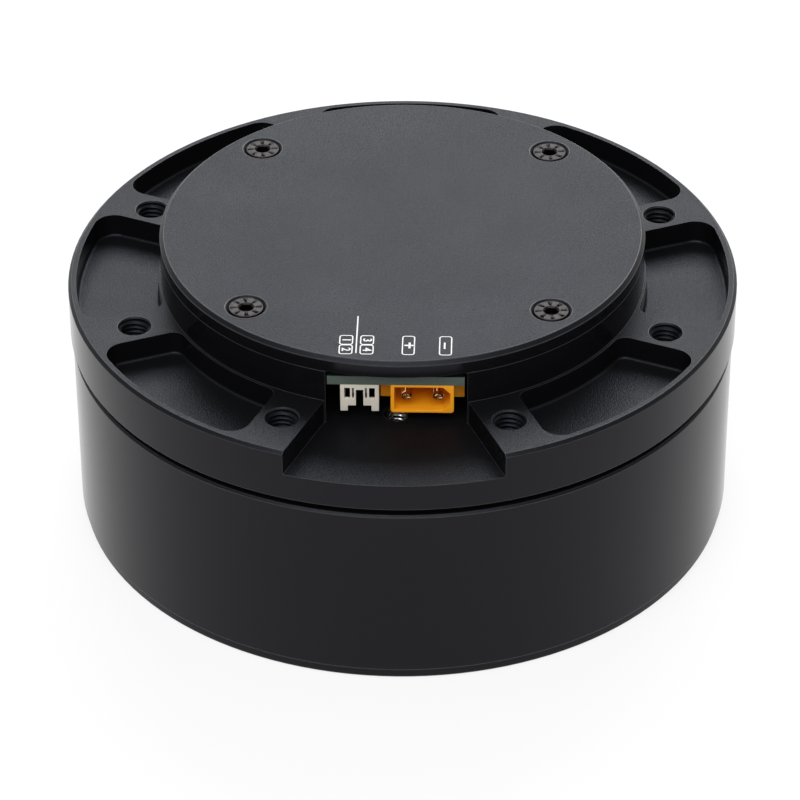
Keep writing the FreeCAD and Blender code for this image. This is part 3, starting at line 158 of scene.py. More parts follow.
def machined_aluminium():
    """Bare turned aluminium: bright metal with fine rings left by the tool."""
    made, tree, place = empty_material("turned aluminium")
    radial = add(tree, "ShaderNodeVectorMath", {0: place.outputs["Object"], 1: (1, 1, 0)},
                 operation="MULTIPLY")
    distance = add(tree, "ShaderNodeVectorMath", {0: radial.outputs[0]}, operation="LENGTH")
    rings = add(tree, "ShaderNodeTexNoise", {
        "W": distance.outputs["Value"], "Scale": 1 / (0.18 * MM), "Detail": 3.0}, noise_dimensions="1D")
    rough = add(tree, "ShaderNodeMapRange", {
        "Value": rings.outputs["Fac"], "From Min": 0.3, "From Max": 0.7, "To Min": 0.24, "To Max": 0.38})
    relief = add(tree, "ShaderNodeBump", {
        "Height": rings.outputs["Fac"], "Strength": 0.2, "Distance": 0.01 * MM})
    finish_material(tree, {
        "Base Color": srgb("c9cacc"), "Metallic": 1.0, "Roughness": rough.outputs[0],
        "Normal": relief.outputs[0]})
    return made


def plated_metal(name, colour, low, high, size):
    """A bare or plated metal whose gloss changes a little over spots, as on handled parts. The size of the
    spots is in millimetres."""
    made, tree, place = empty_material(name)
    spots = add(tree, "ShaderNodeTexNoise", {
        "Vector": place.outputs["Object"], "Scale": 1 / (size * MM), "Detail": 4.0, "Roughness": 0.6})
    rough = add(tree, "ShaderNodeMapRange", {
        "Value": spots.outputs["Fac"], "From Min": 0.3, "From Max": 0.7, "To Min": low, "To Max": high})
    relief = add(tree, "ShaderNodeBump", {
        "Height": spots.outputs["Fac"], "Strength": 0.12, "Distance": 0.01 * MM})
    finish_material(tree, {
        "Base Color": srgb(colour), "Metallic": 1.0, "Roughness": rough.outputs[0],
        "Normal": relief.outputs[0]})
    return made


def moulded_plastic(name, colour, shade, rough, scatter):
    """Injection moulded plastic: an even colour, a little deeper in places, with a fine mould texture."""
    made, tree, place = empty_material(name)
    cloud = add(tree, "ShaderNodeTexNoise", {
        "Vector": place.outputs["Object"], "Scale": 1 / (2.5 * MM), "Detail": 3.0})
    tone = add(tree, "ShaderNodeMix", {
        "Factor": cloud.outputs["Fac"], "A": srgb(colour), "B": srgb(shade)}, data_type="RGBA")
    texture = add(tree, "ShaderNodeTexNoise", {
        "Vector": place.outputs["Object"], "Scale": 1 / (0.15 * MM), "Detail": 2.0})
    relief = add(tree, "ShaderNodeBump", {
        "Height": texture.outputs["Fac"], "Strength": 0.1, "Distance": 0.01 * MM})
    finish_material(tree, {
        "Base Color": tone.outputs["Result"], "Roughness": rough,
        "Subsurface Weight": scatter, "Subsurface Scale": 0.8 * MM, "Normal": relief.outputs[0]})
    return made


def laminated_steel():
    """A stack of punched electrical steel sheets: dark edges every half millimetre."""
    made, tree, place = empty_material("electrical steel laminations")
    height = add(tree, "ShaderNodeSeparateXYZ", {"Vector": place.outputs["Object"]})
    sheets = add(tree, "ShaderNodeMath", {0: height.outputs["Z"], 1: 0.5 * MM}, operation="PINGPONG")
    line = add(tree, "ShaderNodeMapRange", {
        "Value": sheets.outputs[0], "From Min": 0.0, "From Max": 0.12 * MM, "To Min": 0.0, "To Max": 1.0})
    tone = add(tree, "ShaderNodeMix", {
        "Factor": line.outputs[0], "A": srgb("3a3b3e"), "B": srgb("8c8f94")}, data_type="RGBA")
    relief = add(tree, "ShaderNodeBump", {
        "Height": line.outputs[0], "Strength": 0.5, "Distance": 0.03 * MM})
    finish_material(tree, {
        "Base Color": tone.outputs["Result"], "Metallic": 1.0, "Roughness": 0.5,
        "Normal": relief.outputs[0]})
    return made


def enamelled_copper():
    """Winding wire of 0.6 mm under clear enamel: round strands side by side, copper brown and glossy."""
    made, tree, place = empty_material("enamelled copper wire")
    strands = add(tree, "ShaderNodeTexWave", {
        "Vector": place.outputs["Object"], "Scale": 1 / (0.6 * MM) / 20, "Distortion": 1.0,
        "Detail": 1.0}, bands_direction="DIAGONAL")
    relief = add(tree, "ShaderNodeBump", {
        "Height": strands.outputs["Fac"], "Strength": 0.6, "Distance": 0.15 * MM})
    finish_material(tree, {
        "Base Color": srgb("b8683c"), "Metallic": 1.0, "Roughness": 0.3, "Coat Weight": 0.6,
        "Coat Roughness": 0.15, "Normal": relief.outputs[0]})
    return made


def circuit_board():
    """Glass fibre board under dark green lacquer: woven layers show as pale streaks on its cut edge."""
    made, tree, place = empty_material("glass fibre circuit board")
    stretch = add(tree, "ShaderNodeMapping", {
        "Vector": place.outputs["Object"], "Scale": (1.0, 1.0, 5.0)})
    fibres = add(tree, "ShaderNodeTexNoise", {
        "Vector": stretch.outputs[0], "Scale": 1 / (0.7 * MM), "Detail": 3.0, "Roughness": 0.6})
    facing = add(tree, "ShaderNodeSeparateXYZ", {"Vector": place.outputs["Normal"]})
    flat = add(tree, "ShaderNodeMath", {0: facing.outputs["Z"]}, operation="ABSOLUTE")
    edge = add(tree, "ShaderNodeMix", {
        "Factor": fibres.outputs["Fac"], "A": srgb("3c4640"), "B": srgb("59645c")}, data_type="RGBA")
    tone = add(tree, "ShaderNodeMix", {
        "Factor": flat.outputs[0], "A": edge.outputs["Result"], "B": srgb("12301f")}, data_type="RGBA")
    relief = add(tree, "ShaderNodeBump", {
        "Height": fibres.outputs["Fac"], "Strength": 0.3, "Distance": 0.03 * MM})
    finish_material(tree, {
        "Base Color": tone.outputs["Result"], "Roughness": 0.55, "Normal": relief.outputs[0]})
    return made


def rubber():
    """Moulded nitrile rubber: black, dull, with a faint bloom."""
    made, tree, place = empty_material("nitrile rubber")
    bloom = add(tree, "ShaderNodeTexNoise", {
        "Vector": place.outputs["Object"], "Scale": 1 / (1.2 * MM), "Detail": 4.0})
    tone = add(tree, "ShaderNodeMix", {
        "Factor": bloom.outputs["Fac"], "A": srgb("141414"), "B": srgb("242424")}, data_type="RGBA")
    relief = add(tree, "ShaderNodeBump", {
        "Height": bloom.outputs["Fac"], "Strength": 0.2, "Distance": 0.02 * MM})
    finish_material(tree, {
        "Base Color": tone.outputs["Result"], "Roughness": 0.7, "Normal": relief.outputs[0]})
    return made


def printing_ink():
    """Screen printed epoxy ink: flat white, very slightly thin in places so the black shows through."""
    made, tree, place = empty_material("white screen ink")
    thin = add(tree, "ShaderNodeTexNoise", {
        "Vector": place.outputs["Object"], "Scale": 1 / (0.25 * MM), "Detail": 2.0})
    tone = add(tree, "ShaderNodeMix", {
        "Factor": thin.outputs["Fac"], "A": srgb("f4f4f2"), "B": srgb("c9caca")}, data_type="RGBA")
    finish_material(tree, {"Base Color": tone.outputs["Result"], "Roughness": 0.6})
    return made


def make_finishes():
    """One material for each of the record's slots."""
    return {
        "black_anodised": anodised("black anodised aluminium", "0e0e10"),
        "cover_black": anodised("blasted black anodised cover", "0e0e11"),
        "machined_aluminium": machined_aluminium(),
        # Heat-blackened alloy steel: warm dark grey with a soft metal sheen.
        "black_screws": plated_metal("black oxide steel", "2c2a2a", 0.34, 0.48, 0.5),
        "zinc_screws": plated_metal("zinc plated steel", "b9bcc0", 0.3, 0.45, 0.8),
        "bearing_steel": plated_metal("ground bearing steel", "c4c6c8", 0.12, 0.2, 1.5),
        "gear_steel": plated_metal("hobbed gear steel", "8f9092", 0.28, 0.42, 0.9),
        "rotor_steel": plated_metal("turned rotor steel", "77787b", 0.3, 0.45, 1.2),
        "magnet_nickel": plated_metal("nickel plated magnet", "b4b3ad", 0.18, 0.28, 1.5),
        "lamination": laminated_steel(),
        "copper_wire": enamelled_copper(),
        "bronze": plated_metal("sintered bronze", "a5793f", 0.4, 0.55, 0.3),
        "gold_contact": plated_metal("gold plated brass", "ffd79a", 0.1, 0.2, 0.6),
        "tin_contact": plated_metal("tin plated brass", "c2c4c6", 0.25, 0.38, 0.5),
        "white_plastic": moulded_plastic("natural nylon", "e2dccf", "d2cabb", 0.42, 0.05),
        "yellow_plastic": moulded_plastic("yellow glass filled nylon", "ffae20", "f49c12", 0.38, 0.0),
        "insulator_plastic": moulded_plastic("slot liner polyester", "e8e2cf", "d9d1b8", 0.5, 0.1),
        "washer_plastic": moulded_plastic("acetal", "dcdad2", "cfccc2", 0.35, 0.1),
        "red_wire": moulded_plastic("red silicone sleeve", "a8201a", "8c1712", 0.5, 0.1),
        "circuit_board": circuit_board(),
        "chip_black": moulded_plastic("epoxy chip package", "1d1d1f", "2a2a2c", 0.55, 0.0),
        "capacitor_can": plated_metal("aluminium capacitor can", "a9acb1", 0.22, 0.32, 1.0),
        "grey_pad": moulded_plastic("silicone heat pad", "8d929a", "7c818a", 0.7, 0.0),
        "black_rubber": rubber(),
    }


finishes = make_finishes()
for part in record["subparts"]:
    nodes[part["node"]].material_slots[0].material = finishes[part["material_slot"]]


# ---------------------------------------------------------------- broken edges

HOUSING_ROUND = 0.12 * MM         # width of the rounds on the turned and milled pieces
SMALL_ROUND = 0.06 * MM           # width of the rounds on the connectors and the board
SAME_PLANE = math.radians(0.05)   # triangles that meet at less than this are one flat face


def break_edges(node, width, finish=None):
    """Gives the sharp edges of a CAD node the small round that deburring leaves, so that they catch light.
    The rounds can have a finish of their own."""
    piece = nodes[node]
    joined = piece.modifiers.new("joined", "WELD")
    joined.merge_threshold = MERGE
    flat = piece.modifiers.new("flat faces", "DECIMATE")
    flat.decimate_type = "DISSOLVE"
    flat.angle_limit = SAME_PLANE
    edge = piece.modifiers.new("broken edges", "BEVEL")
    edge.width = width
    edge.segments = 2
    edge.limit_method = "ANGLE"
    edge.angle_limit = SHARP
    if finish:
        piece.data.materials.append(finish)
        edge.material = len(piece.data.materials) - 1
    even = piece.modifiers.new("even shading", "WEIGHTED_NORMAL")
    even.keep_sharp = False


# The rounds on these housing pieces carry the painted edge highlight.
highlight_edge = worn_edge()
for node in ("rear_flange", "rear_cover", "drum_shell", "front_plate"):
    break_edges(node, HOUSING_ROUND, highlight_edge)
break_edges("output_flange", HOUSING_ROUND)
for node in ("power_connector", "signal_connector", "driver_board"):
    break_edges(node, SMALL_ROUND)


# ---------------------------------------------------------------- helpers for the modelled pieces

def finish_piece(name, bm, body, slot, finish=None):
    """Closes a shape, links it, gives it its finish and lets it ride on a body."""
    bmesh.ops.remove_doubles(bm, verts=bm.verts, dist=MERGE)
    bmesh.ops.recalc_face_normals(bm, faces=bm.faces)
    mesh = bpy.data.meshes.new(name)
    bm.to_mesh(mesh)
    bm.free()
    mesh.shade_smooth()
    mesh.set_sharp_from_angle(angle=SHARP)
    mesh.materials.append(finish or finishes[slot])
    piece = bpy.data.objects.new(name, mesh)
    bpy.context.scene.collection.objects.link(piece)
    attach(piece, body)
    return piece


def around(pitch_radius, count, first, level):
    """Points spaced evenly on a circle about the axis. The first angle is in degrees."""
    steps = [math.radians(first) + TURN * step / count for step in range(count)]
    return [Vector((pitch_radius * math.cos(turn), pitch_radius * math.sin(turn), level)) for turn in steps]


# ---------------------------------------------------------------- screw threads in the tapped holes

THREAD_STEPS = 24                 # steps in one turn of a thread
THREAD_ROOT = 0.04 * MM           # how far a ridge starts inside the hole's wall
THREAD_DEPTH = 0.52               # how far a ridge reaches into the hole, in pitches
CREST_ROUND = 0.06                # how much lower a crest is at its sides, in pitches
M5_PITCH = 0.8 * MM
M4_PITCH = 0.7 * MM


def cut_thread(bm, mouth, inward, hole_radius, pitch, length):
    """The helical ridge of a tapped hole, from its mouth inward (1 is up, -1 is down)."""
    root = hole_radius + THREAD_ROOT
    crest = hole_radius - THREAD_DEPTH * pitch
    flank = (root + crest) / 2
    near_crest = crest + CREST_ROUND * pitch
    # The ridge's outline: each corner's radius, and its place along the hole in pitches.
    profile = ((root, 0.06), (flank, 0.26), (near_crest, 0.4), (crest, 0.5),
               (near_crest, 0.6), (flank, 0.74), (root, 0.94))
    corners = [bm.verts.new(mouth + Vector((radius, 0, inward * share * pitch))) for radius, share in profile]
    sides = [bm.edges.new((corners[side - 1], corners[side])) for side in range(len(corners))]
    steps = round(length / pitch * THREAD_STEPS) - THREAD_STEPS
    bmesh.ops.spin(
        bm, geom=corners + sides, cent=mouth, axis=UP, dvec=UP * (inward * pitch / THREAD_STEPS),
        angle=inward * TURN * steps / THREAD_STEPS, steps=steps)
    ends = [edge for edge in bm.edges if edge.is_boundary]
    bmesh.ops.holes_fill(bm, edges=ends, sides=len(corners))


def threads(name, mouths, inward, hole_radius, pitch, length, body, slot, finish=None):
    """One piece that holds the thread ridges of like holes."""
    bm = bmesh.new()
    for mouth in mouths:
        cut_thread(bm, mouth, inward, hole_radius, pitch, length)
    return finish_piece(name, bm, body, slot, finish)


def hole_circle(mount, first):
    """The mouths of a mount's holes, and the radius of one hole. The first hole's angle is in degrees."""
    size = mounts[mount]["dims"]
    level = mounts[mount]["pos_m"][2]
    return around(size["pcd_mm"] / 2 * MM, size["count"], first, level), size["hole_r_mm"] * MM


FLANGE_HOLE_ANGLE = 22.5          # degrees from +X to the first flange hole
FLANGE_THREAD = 7.2 * MM          # lengths of the threads
OUTPUT_THREAD = 4.2 * MM
SLOT_THREAD = 4.1 * MM
SLOT_FLOOR = 37.7 * MM            # height of the connector slot's floor
SLOT_HOLE_Y = -34.7 * MM          # the M4 hole in that floor
SLOT_HOLE_RADIUS = 2.0 * MM

mouths, hole_radius = hole_circle("flange_holes", FLANGE_HOLE_ANGLE)
threads("flange_hole_threads", mouths, -1, hole_radius, M5_PITCH, FLANGE_THREAD, "housing", "black_anodised")

mouths, hole_radius = hole_circle("output_holes", 0)
threads("output_hole_threads", mouths, 1, hole_radius, M4_PITCH, OUTPUT_THREAD,
        "output", "machined_aluminium")

slot_mouth = Vector((0, SLOT_HOLE_Y, SLOT_FLOOR))
# Tapped after anodising: the eye sees bright cut metal in a black hole.
cut_metal = plated_metal("freshly cut aluminium thread", "d8dadc", 0.1, 0.2, 0.4)
threads("slot_hole_thread", [slot_mouth], -1, SLOT_HOLE_RADIUS, M4_PITCH, SLOT_THREAD,
        "housing", "machined_aluminium", cut_metal)


# ---------------------------------------------------------------- cover screws

SCREW_SIDES = 72                  # corners of a screw's rings, a multiple of 6 for the socket
SCREW_HEAD = 2.73 * MM            # radius of the head
SCREW_SHANK = 1.5 * MM            # radius of the shank
SCREW_KEY = 1.0 * MM              # from the socket's centre to a flat
SCREW_SUNK = 0.07 * MM            # the head's top below the cover
SCREW_RIM = 0.38 * MM             # height of the head's straight rim above its cone
SCREW_TIP = 0.3 * MM              # the chamfer on the shank's end
HEAD_ROUND = ((0.0, 0.12), (0.06, 0.03), (0.16, 0.0))    # how far in and how deep its rings are, in mm
KEY_CHAMFER = 0.22 * MM           # depth of the socket's chamfer
KEY_WIDER = 1.3                   # the chamfer's radius in flats' distances
KEY_DEPTH = 1.3 * MM              # depth of the socket's straight wall
KEY_POINT = 1.6 * MM              # depth of the drilled point below it
KEY_POINT_SHARE = 0.3             # the point's radius in flats' distances
TICK_EVERY = 9                    # one mark on the head for each nine corners
TICK_OUTER = 2.3 * MM             # a mark's two ends, from the screw's axis
TICK_INNER = 1.62 * MM
TICK_DEPTH = 0.1 * MM
CAD_SCREW_HEAD = 2.9 * MM         # head radius of the solids that these screws replace


def hexagon(turn):
    """How much further out than its flats a hexagon's edge is in one direction."""
    return 1 / math.cos((turn % (TURN / 6)) - TURN / 12)


def next_ring(bm, ring, centre, radius, depth, six_sided=False):
    """Extrudes a ring of edges to a new radius and depth, and returns its new edges."""
    grown = bmesh.ops.extrude_edge_only(bm, edges=ring)["geom"]
    for corner in [item for item in grown if isinstance(item, bmesh.types.BMVert)]:
        turn = math.atan2(corner.co.y - centre.y, corner.co.x - centre.x)
        reach = radius * (hexagon(turn) if six_sided else 1)
        corner.co = centre + Vector((reach * math.cos(turn), reach * math.sin(turn), -depth))
    return [item for item in grown if isinstance(item, bmesh.types.BMEdge)]


def is_tick(face, centre):
    """Two neighbouring faces in each nine of the head's flat band are one mark."""
    place = face.calc_center_median() - centre
    side = int((math.atan2(place.y, place.x) % TURN) / TURN * SCREW_SIDES)
    return side % TICK_EVERY < 2


def make_cover_screw(bm, centre, length):
    """A flat-head socket screw: rounded rim, short ticks, a chamfered hexagon socket and its shank."""
    head = bmesh.ops.create_circle(
        bm, segments=SCREW_SIDES, radius=SCREW_HEAD, matrix=Matrix.Translation(centre - UP * SCREW_RIM))
    rim = list({edge for corner in head["verts"] for edge in corner.link_edges})
    cone = SCREW_HEAD - SCREW_SHANK
    shank = next_ring(bm, rim, centre, SCREW_SHANK, SCREW_RIM + cone)
    shank = next_ring(bm, shank, centre, SCREW_SHANK, length - SCREW_TIP)
    tip = next_ring(bm, shank, centre, SCREW_SHANK - SCREW_TIP, length)
    bmesh.ops.holes_fill(bm, edges=tip, sides=SCREW_SIDES)
    ring = rim
    for inset, depth in HEAD_ROUND:
        ring = next_ring(bm, ring, centre, SCREW_HEAD - inset * MM, depth * MM)
    ring = next_ring(bm, ring, centre, TICK_OUTER, 0)
    ring = next_ring(bm, ring, centre, TICK_INNER, 0)
    ticks = [face for edge in ring for face in edge.link_faces if is_tick(face, centre)]
    ring = next_ring(bm, ring, centre, SCREW_KEY * KEY_WIDER, 0)
    ring = next_ring(bm, ring, centre, SCREW_KEY, KEY_CHAMFER, six_sided=True)
    ring = next_ring(bm, ring, centre, SCREW_KEY, KEY_DEPTH, six_sided=True)
    ring = next_ring(bm, ring, centre, SCREW_KEY * KEY_POINT_SHARE, KEY_POINT)
    bmesh.ops.holes_fill(bm, edges=ring, sides=SCREW_SIDES)
    # Known fault: given no edges, the operator keeps each tick's own face, so it closes the pit below it.
    sunk = bmesh.ops.extrude_face_region(bm, geom=ticks)["geom"]
    corners = [item for item in sunk if isinstance(item, bmesh.types.BMVert)]
    bmesh.ops.translate(bm, vec=UP * -TICK_DEPTH, verts=corners)


screw_low, screw_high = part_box("cover_screws")
screw_reach = screw_high.x - CAD_SCREW_HEAD
screw_top = COVER_TOP - SCREW_SUNK
bm = bmesh.new()
for centre in around(screw_reach * math.sqrt(2), 4, 45, screw_top):
    make_cover_screw(bm, centre, screw_top - screw_low.z)
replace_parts(finish_piece("cover_screws_detailed", bm, "housing", "black_screws"), "cover_screws")


# ---------------------------------------------------------------- power pins

PIN_RADIUS = 1.0 * MM
PIN_SLIT = 0.12 * MM              # half the width of the crossed slits
PIN_FORWARD = 0.7 * MM            # how far the domed tips reach past the CAD pins' flat ends
PIN_SIDES = 40                    # corners of a whole pin's outline
TIP_SHARE = 0.5                   # the tip's radius in pin radii
PIN_DOME = ((0.1, 1.45), (0.25, 1.25), (0.45, 1.1034))    # each step's depth in mm, and how much it widens


def all_parts(bm):
    """Every corner, edge and face, for the operators that ask for them."""
    return bm.verts[:] + bm.edges[:] + bm.faces[:]


def make_pin_pair(bm, tip, pitch, back):
    """Two split pins that point to -Y, each of four sprung quarters with a domed tip."""
    # One quarter of the first pin: its tip is cut from a disc and pushed back in widening steps.
    facing = Matrix.Rotation(TURN / 4, 4, "X")
    bmesh.ops.create_circle(
        bm, cap_ends=True, segments=PIN_SIDES, radius=PIN_RADIUS * TIP_SHARE, matrix=facing)
    for outward in ((-1, 0, 0), (0, 0, -1)):
        bmesh.ops.bisect_plane(
            bm, geom=all_parts(bm), plane_co=(PIN_SLIT, 0, PIN_SLIT), plane_no=outward, clear_outer=True)
    end = bm.faces[:]
    shank = back / MM - sum(deeper for deeper, wider in PIN_DOME)
    # Known fault: given no edges, the operator keeps each step's end face, which stays inside the pin.
    for deeper, wider in (*PIN_DOME, (shank, 1.0)):
        grown = bmesh.ops.extrude_face_region(bm, geom=end)["geom"]
        end = [item for item in grown if isinstance(item, bmesh.types.BMFace)]
        corners = [item for item in grown if isinstance(item, bmesh.types.BMVert)]
        slit = Matrix.Translation((-PIN_SLIT, 0, -PIN_SLIT))
        bmesh.ops.scale(bm, vec=(wider, 1, wider), space=slit, verts=corners)
        bmesh.ops.translate(bm, vec=(0, deeper * MM, 0), verts=corners)
    # The other three quarters, then the second pin.
    bmesh.ops.mirror(bm, geom=all_parts(bm), axis="X", merge_dist=MERGE / 10)
    bmesh.ops.mirror(bm, geom=all_parts(bm), axis="Z", merge_dist=MERGE / 10)
    twin = bmesh.ops.duplicate(bm, geom=all_parts(bm))["geom"]
    corners = [item for item in twin if isinstance(item, bmesh.types.BMVert)]
    bmesh.ops.translate(bm, vec=(pitch, 0, 0), verts=corners)
    bmesh.ops.translate(bm, vec=tip, verts=bm.verts)


pins_low, pins_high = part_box("power_pins")
first_tip = pins_low + Vector((PIN_RADIUS, -PIN_FORWARD, PIN_RADIUS))
pin_pitch = pins_high.x - pins_low.x - 2 * PIN_RADIUS
bm = bmesh.new()
make_pin_pair(bm, first_tip, pin_pitch, pins_high.y - pins_low.y + PIN_FORWARD)
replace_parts(finish_piece("power_pin_pair", bm, "housing", "gold_contact"), "power_pins")


# ---------------------------------------------------------------- marks on the cover

INK = 0.008 * MM                  # thickness of the printed ink
LINE = 0.18 * MM                  # width of a printed line
FRAME_ROUND = 0.5 * MM            # corner radius of a frame
BOLDER = 0.03 * MM                # how much each sign is thickened


def flat_box(width, height):
    """A flat rectangle about the origin."""
    bm = bmesh.new()
    bmesh.ops.create_grid(bm, x_segments=1, y_segments=1, size=0.5)
    bmesh.ops.scale(bm, vec=(width, height, 1), verts=bm.verts)
    return bm


def raise_ink(bm):
    """Gives flat printed shapes the thickness of the ink."""
    grown = bmesh.ops.extrude_face_region(bm, geom=bm.faces[:])["geom"]
    corners = [item for item in grown if isinstance(item, bmesh.types.BMVert)]
    bmesh.ops.translate(bm, vec=UP * INK, verts=corners)


def mark_frame(centre, width, height):
    """A box with round corners, drawn as a line."""
    bm = flat_box(width, height)
    bmesh.ops.bevel(
        bm, geom=bm.verts[:], affect="VERTICES", offset=FRAME_ROUND, segments=5, profile=0.5, material=-1)
    rim = bmesh.ops.inset_region(
        bm, faces=bm.faces[:], thickness=LINE, use_boundary=True, use_even_offset=True)["faces"]
    bmesh.ops.delete(bm, geom=[face for face in bm.faces if face not in rim], context="FACES")
    raise_ink(bm)
    bmesh.ops.translate(bm, vec=centre, verts=bm.verts)
    return bm


def mark_line(centre, width, height):
    """A straight printed line."""
    bm = flat_box(width, height)
    raise_ink(bm)
    bmesh.ops.translate(bm, vec=centre, verts=bm.verts)
    return bm


def mark_sign(sign, centre, size):
    """A plain number or sign that reads from the slot's right side."""
    letters = bpy.data.curves.new("sign", "FONT")
    letters.body = sign
    letters.size = size
    letters.align_x = "CENTER"
    letters.align_y = "CENTER"
    letters.offset = BOLDER
    holder = bpy.data.objects.new("sign", letters)
    flat = bpy.data.meshes.new_from_object(holder)
    bpy.data.objects.remove(holder)
    bm = bmesh.new()
    bm.from_mesh(flat)
    bmesh.ops.remove_doubles(bm, verts=bm.verts, dist=MERGE)
    raise_ink(bm)
    bmesh.ops.rotate(bm, matrix=Matrix.Rotation(-TURN / 4, 3, "Z"), verts=bm.verts)
    bmesh.ops.translate(bm, vec=centre, verts=bm.verts)
    return bm


def on_cover(across, out):
    """A point on the cover's top, in millimetres to +X and towards -Y."""
    return Vector((across * MM, -out * MM, COVER_TOP))


POWER_SIGNS = ((1.8, "+"), (7.5, "\u2013"))    # millimetres to +X, and the sign
POWER_OUT = 34.03                 # millimetres from the axis towards -Y
POWER_FRAME = (2.0 * MM, 5.2 * MM)
POWER_SIGN_SIZE = 3.2 * MM
NUMBER_COLUMNS = (-7.8, -4.58)    # millimetres to +X
NUMBER_ROWS = (32.7, 35.3)        # millimetres towards -Y
NUMBER_FRAME = (2.15 * MM, 2.6 * MM)
NUMBER_SIZE = 1.9 * MM
DIVIDER_PLACE = (-6.2, 31.2)      # between the two columns of numbers
DIVIDER_SIZE = (0.2 * MM, 10.2 * MM)


def make_marks():
    """Framed terminal signs over the two connectors: plus and minus, and the numbers 1 to 4."""
    shapes = []
    for across, sign in POWER_SIGNS:
        shapes.append(mark_frame(on_cover(across, POWER_OUT), *POWER_FRAME))
        shapes.append(mark_sign(sign, on_cover(across, POWER_OUT), POWER_SIGN_SIZE))
    number = 0
    for across in NUMBER_COLUMNS:
        for out in NUMBER_ROWS:
            number += 1
            shapes.append(mark_frame(on_cover(across, out), *NUMBER_FRAME))
            shapes.append(mark_sign(str(number), on_cover(across, out), NUMBER_SIZE))
    shapes.append(mark_line(on_cover(*DIVIDER_PLACE), *DIVIDER_SIZE))
    whole = bmesh.new()
    for shape in shapes:
        flat = bpy.data.meshes.new("mark")
        shape.to_mesh(flat)
        shape.free()
        whole.from_mesh(flat)
        bpy.data.meshes.remove(flat)
    return whole


finish_piece("cover_marks", make_marks(), "housing", "white_plastic", printing_ink())


# ---------------------------------------------------------------- stage, light and camera

FLOOR_RADIUS = 3.0                # metres
FLOOR_WHITE = 0.8                 # how much of what the camera sees of the floor is plain white
STUDIO_LIGHT = 0.5                # strength of the even surroundings
BACKDROP_LIGHT = 0.9              # share of white in the reflected backdrop
BACKDROP_FADE = (0.12, 0.36)      # sines of the heights over which the backdrop ends
LAMP_DISTANCE = 1.5               # metres from the object to each softbox
CAMERA_EYE = Vector((14.3, -526.7, 383.4)) * MM
CAMERA_TARGET = Vector((-0.7, 7.5, 10.7)) * MM
CAMERA_ROLL = math.radians(-0.24)
CAMERA_LENS = 174.6               # focal length on a 36 mm wide frame


def seen_directly(tree):
    """1 for what the camera, a reflection or a clear body sees, 0 for what lights the object."""
    path = add(tree, "ShaderNodeLightPath", {})
    either = add(tree, "ShaderNodeMath", {
        0: path.outputs["Is Camera Ray"], 1: path.outputs["Is Glossy Ray"]}, operation="MAXIMUM")
    return add(tree, "ShaderNodeMath", {
        0: either.outputs[0], 1: path.outputs["Is Transmission Ray"]}, operation="MAXIMUM").outputs[0]


def make_floor():
    """A pale floor that reads as white and still takes the object's shadow."""
    bm = bmesh.new()
    bmesh.ops.create_circle(bm, cap_ends=True, segments=96, radius=FLOOR_RADIUS)
    mesh = bpy.data.meshes.new("floor")
    bm.to_mesh(mesh)
    bm.free()
    disc = bpy.data.objects.new("floor", mesh)
    bpy.context.scene.collection.objects.link(disc)
    made = bpy.data.materials.new("white paper floor")
    made.use_nodes = True
    tree = made.node_tree
    tree.nodes.clear()
    paper = add(tree, "ShaderNodeBsdfDiffuse", {"Color": srgb("f8f8f8")})
    white = add(tree, "ShaderNodeEmission", {"Strength": 1.0})
    share = add(tree, "ShaderNodeMath", {0: seen_directly(tree), 1: FLOOR_WHITE}, operation="MULTIPLY")
    mixed = add(tree, "ShaderNodeMixShader", {0: share.outputs[0], 1: paper.outputs[0], 2: white.outputs[0]})
    add(tree, "ShaderNodeOutputMaterial", {"Surface": mixed.outputs[0]})
    mesh.materials.append(made)


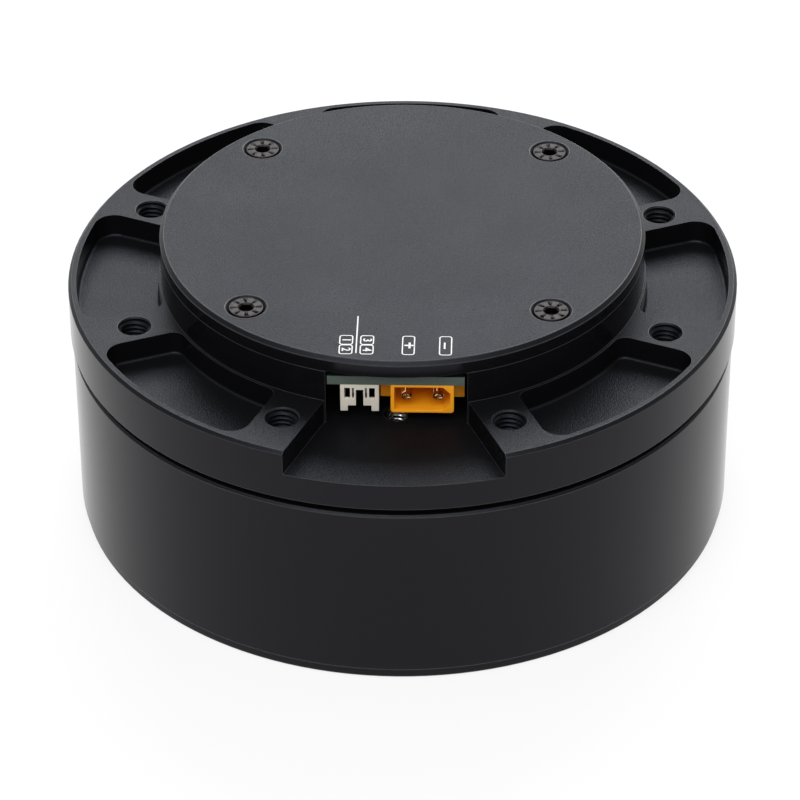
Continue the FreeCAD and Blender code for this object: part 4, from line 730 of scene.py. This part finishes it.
def make_world():
    """Even studio surroundings. The camera sees white. Reflections see a white backdrop that ends above
    the horizon, and the same grey studio above it that lights the object."""
    world = bpy.data.worlds.new("studio")
    bpy.context.scene.world = world
    world.use_nodes = True
    tree = world.node_tree
    tree.nodes.clear()
    place = add(tree, "ShaderNodeTexCoord", {})
    height = add(tree, "ShaderNodeSeparateXYZ", {"Vector": place.outputs["Generated"]})
    backdrop = add(tree, "ShaderNodeMapRange", {
        "Value": height.outputs["Z"], "From Min": BACKDROP_FADE[0], "From Max": BACKDROP_FADE[1],
        "To Min": BACKDROP_LIGHT, "To Max": 0.0})
    path = add(tree, "ShaderNodeLightPath", {})
    low = add(tree, "ShaderNodeMath", {0: seen_directly(tree), 1: backdrop.outputs[0]}, operation="MULTIPLY")
    white_share = add(tree, "ShaderNodeMath", {
        0: path.outputs["Is Camera Ray"], 1: low.outputs[0]}, operation="MAXIMUM")
    studio = add(tree, "ShaderNodeBackground", {"Color": (1, 1, 1, 1), "Strength": STUDIO_LIGHT})
    white = add(tree, "ShaderNodeBackground", {"Color": (1, 1, 1, 1), "Strength": 1.0})
    mixed = add(tree, "ShaderNodeMixShader", {
        0: white_share.outputs[0], 1: studio.outputs[0], 2: white.outputs[0]})
    add(tree, "ShaderNodeOutputWorld", {"Surface": mixed.outputs[0]})


def softbox(name, azimuth, elevation, width, height, radiance):
    """A rectangular lamp that faces the object. Azimuth 0 is behind the object, +Y, and 90 is +X."""
    turn, rise = math.radians(azimuth), math.radians(elevation)
    away = Vector((math.sin(turn) * math.cos(rise), math.cos(turn) * math.cos(rise), math.sin(rise)))
    lamp = bpy.data.lights.new(name, "AREA")
    lamp.shape = "RECTANGLE"
    lamp.size = width
    lamp.size_y = height
    lamp.energy = radiance * math.pi * width * height
    holder = bpy.data.objects.new(name, lamp)
    holder.location = away * LAMP_DISTANCE
    holder.rotation_euler = away.to_track_quat("Z", "Y").to_euler()
    bpy.context.scene.collection.objects.link(holder)


def make_camera():
    """The camera stands in front of the connector slot, above it and a little to the right."""
    camera = bpy.data.cameras.new("camera")
    camera.sensor_width = 36.0
    camera.lens = CAMERA_LENS
    camera.clip_start = 0.02
    camera.clip_end = 20.0
    holder = bpy.data.objects.new("camera", camera)
    aim = (CAMERA_EYE - CAMERA_TARGET).to_track_quat("Z", "Y").to_matrix().to_4x4()
    roll = Matrix.Rotation(CAMERA_ROLL, 4, "Z")
    holder.matrix_world = Matrix.Translation(CAMERA_EYE) @ aim @ roll
    bpy.context.scene.collection.objects.link(holder)
    bpy.context.scene.camera = holder


make_floor()
make_world()
softbox("back softbox", azimuth=5, elevation=41, width=1.3, height=0.8, radiance=5.9)
softbox("front softbox", azimuth=188, elevation=56, width=1.4, height=0.9, radiance=3.6)
make_camera()
bpy.context.scene.view_settings.view_transform = "Standard"
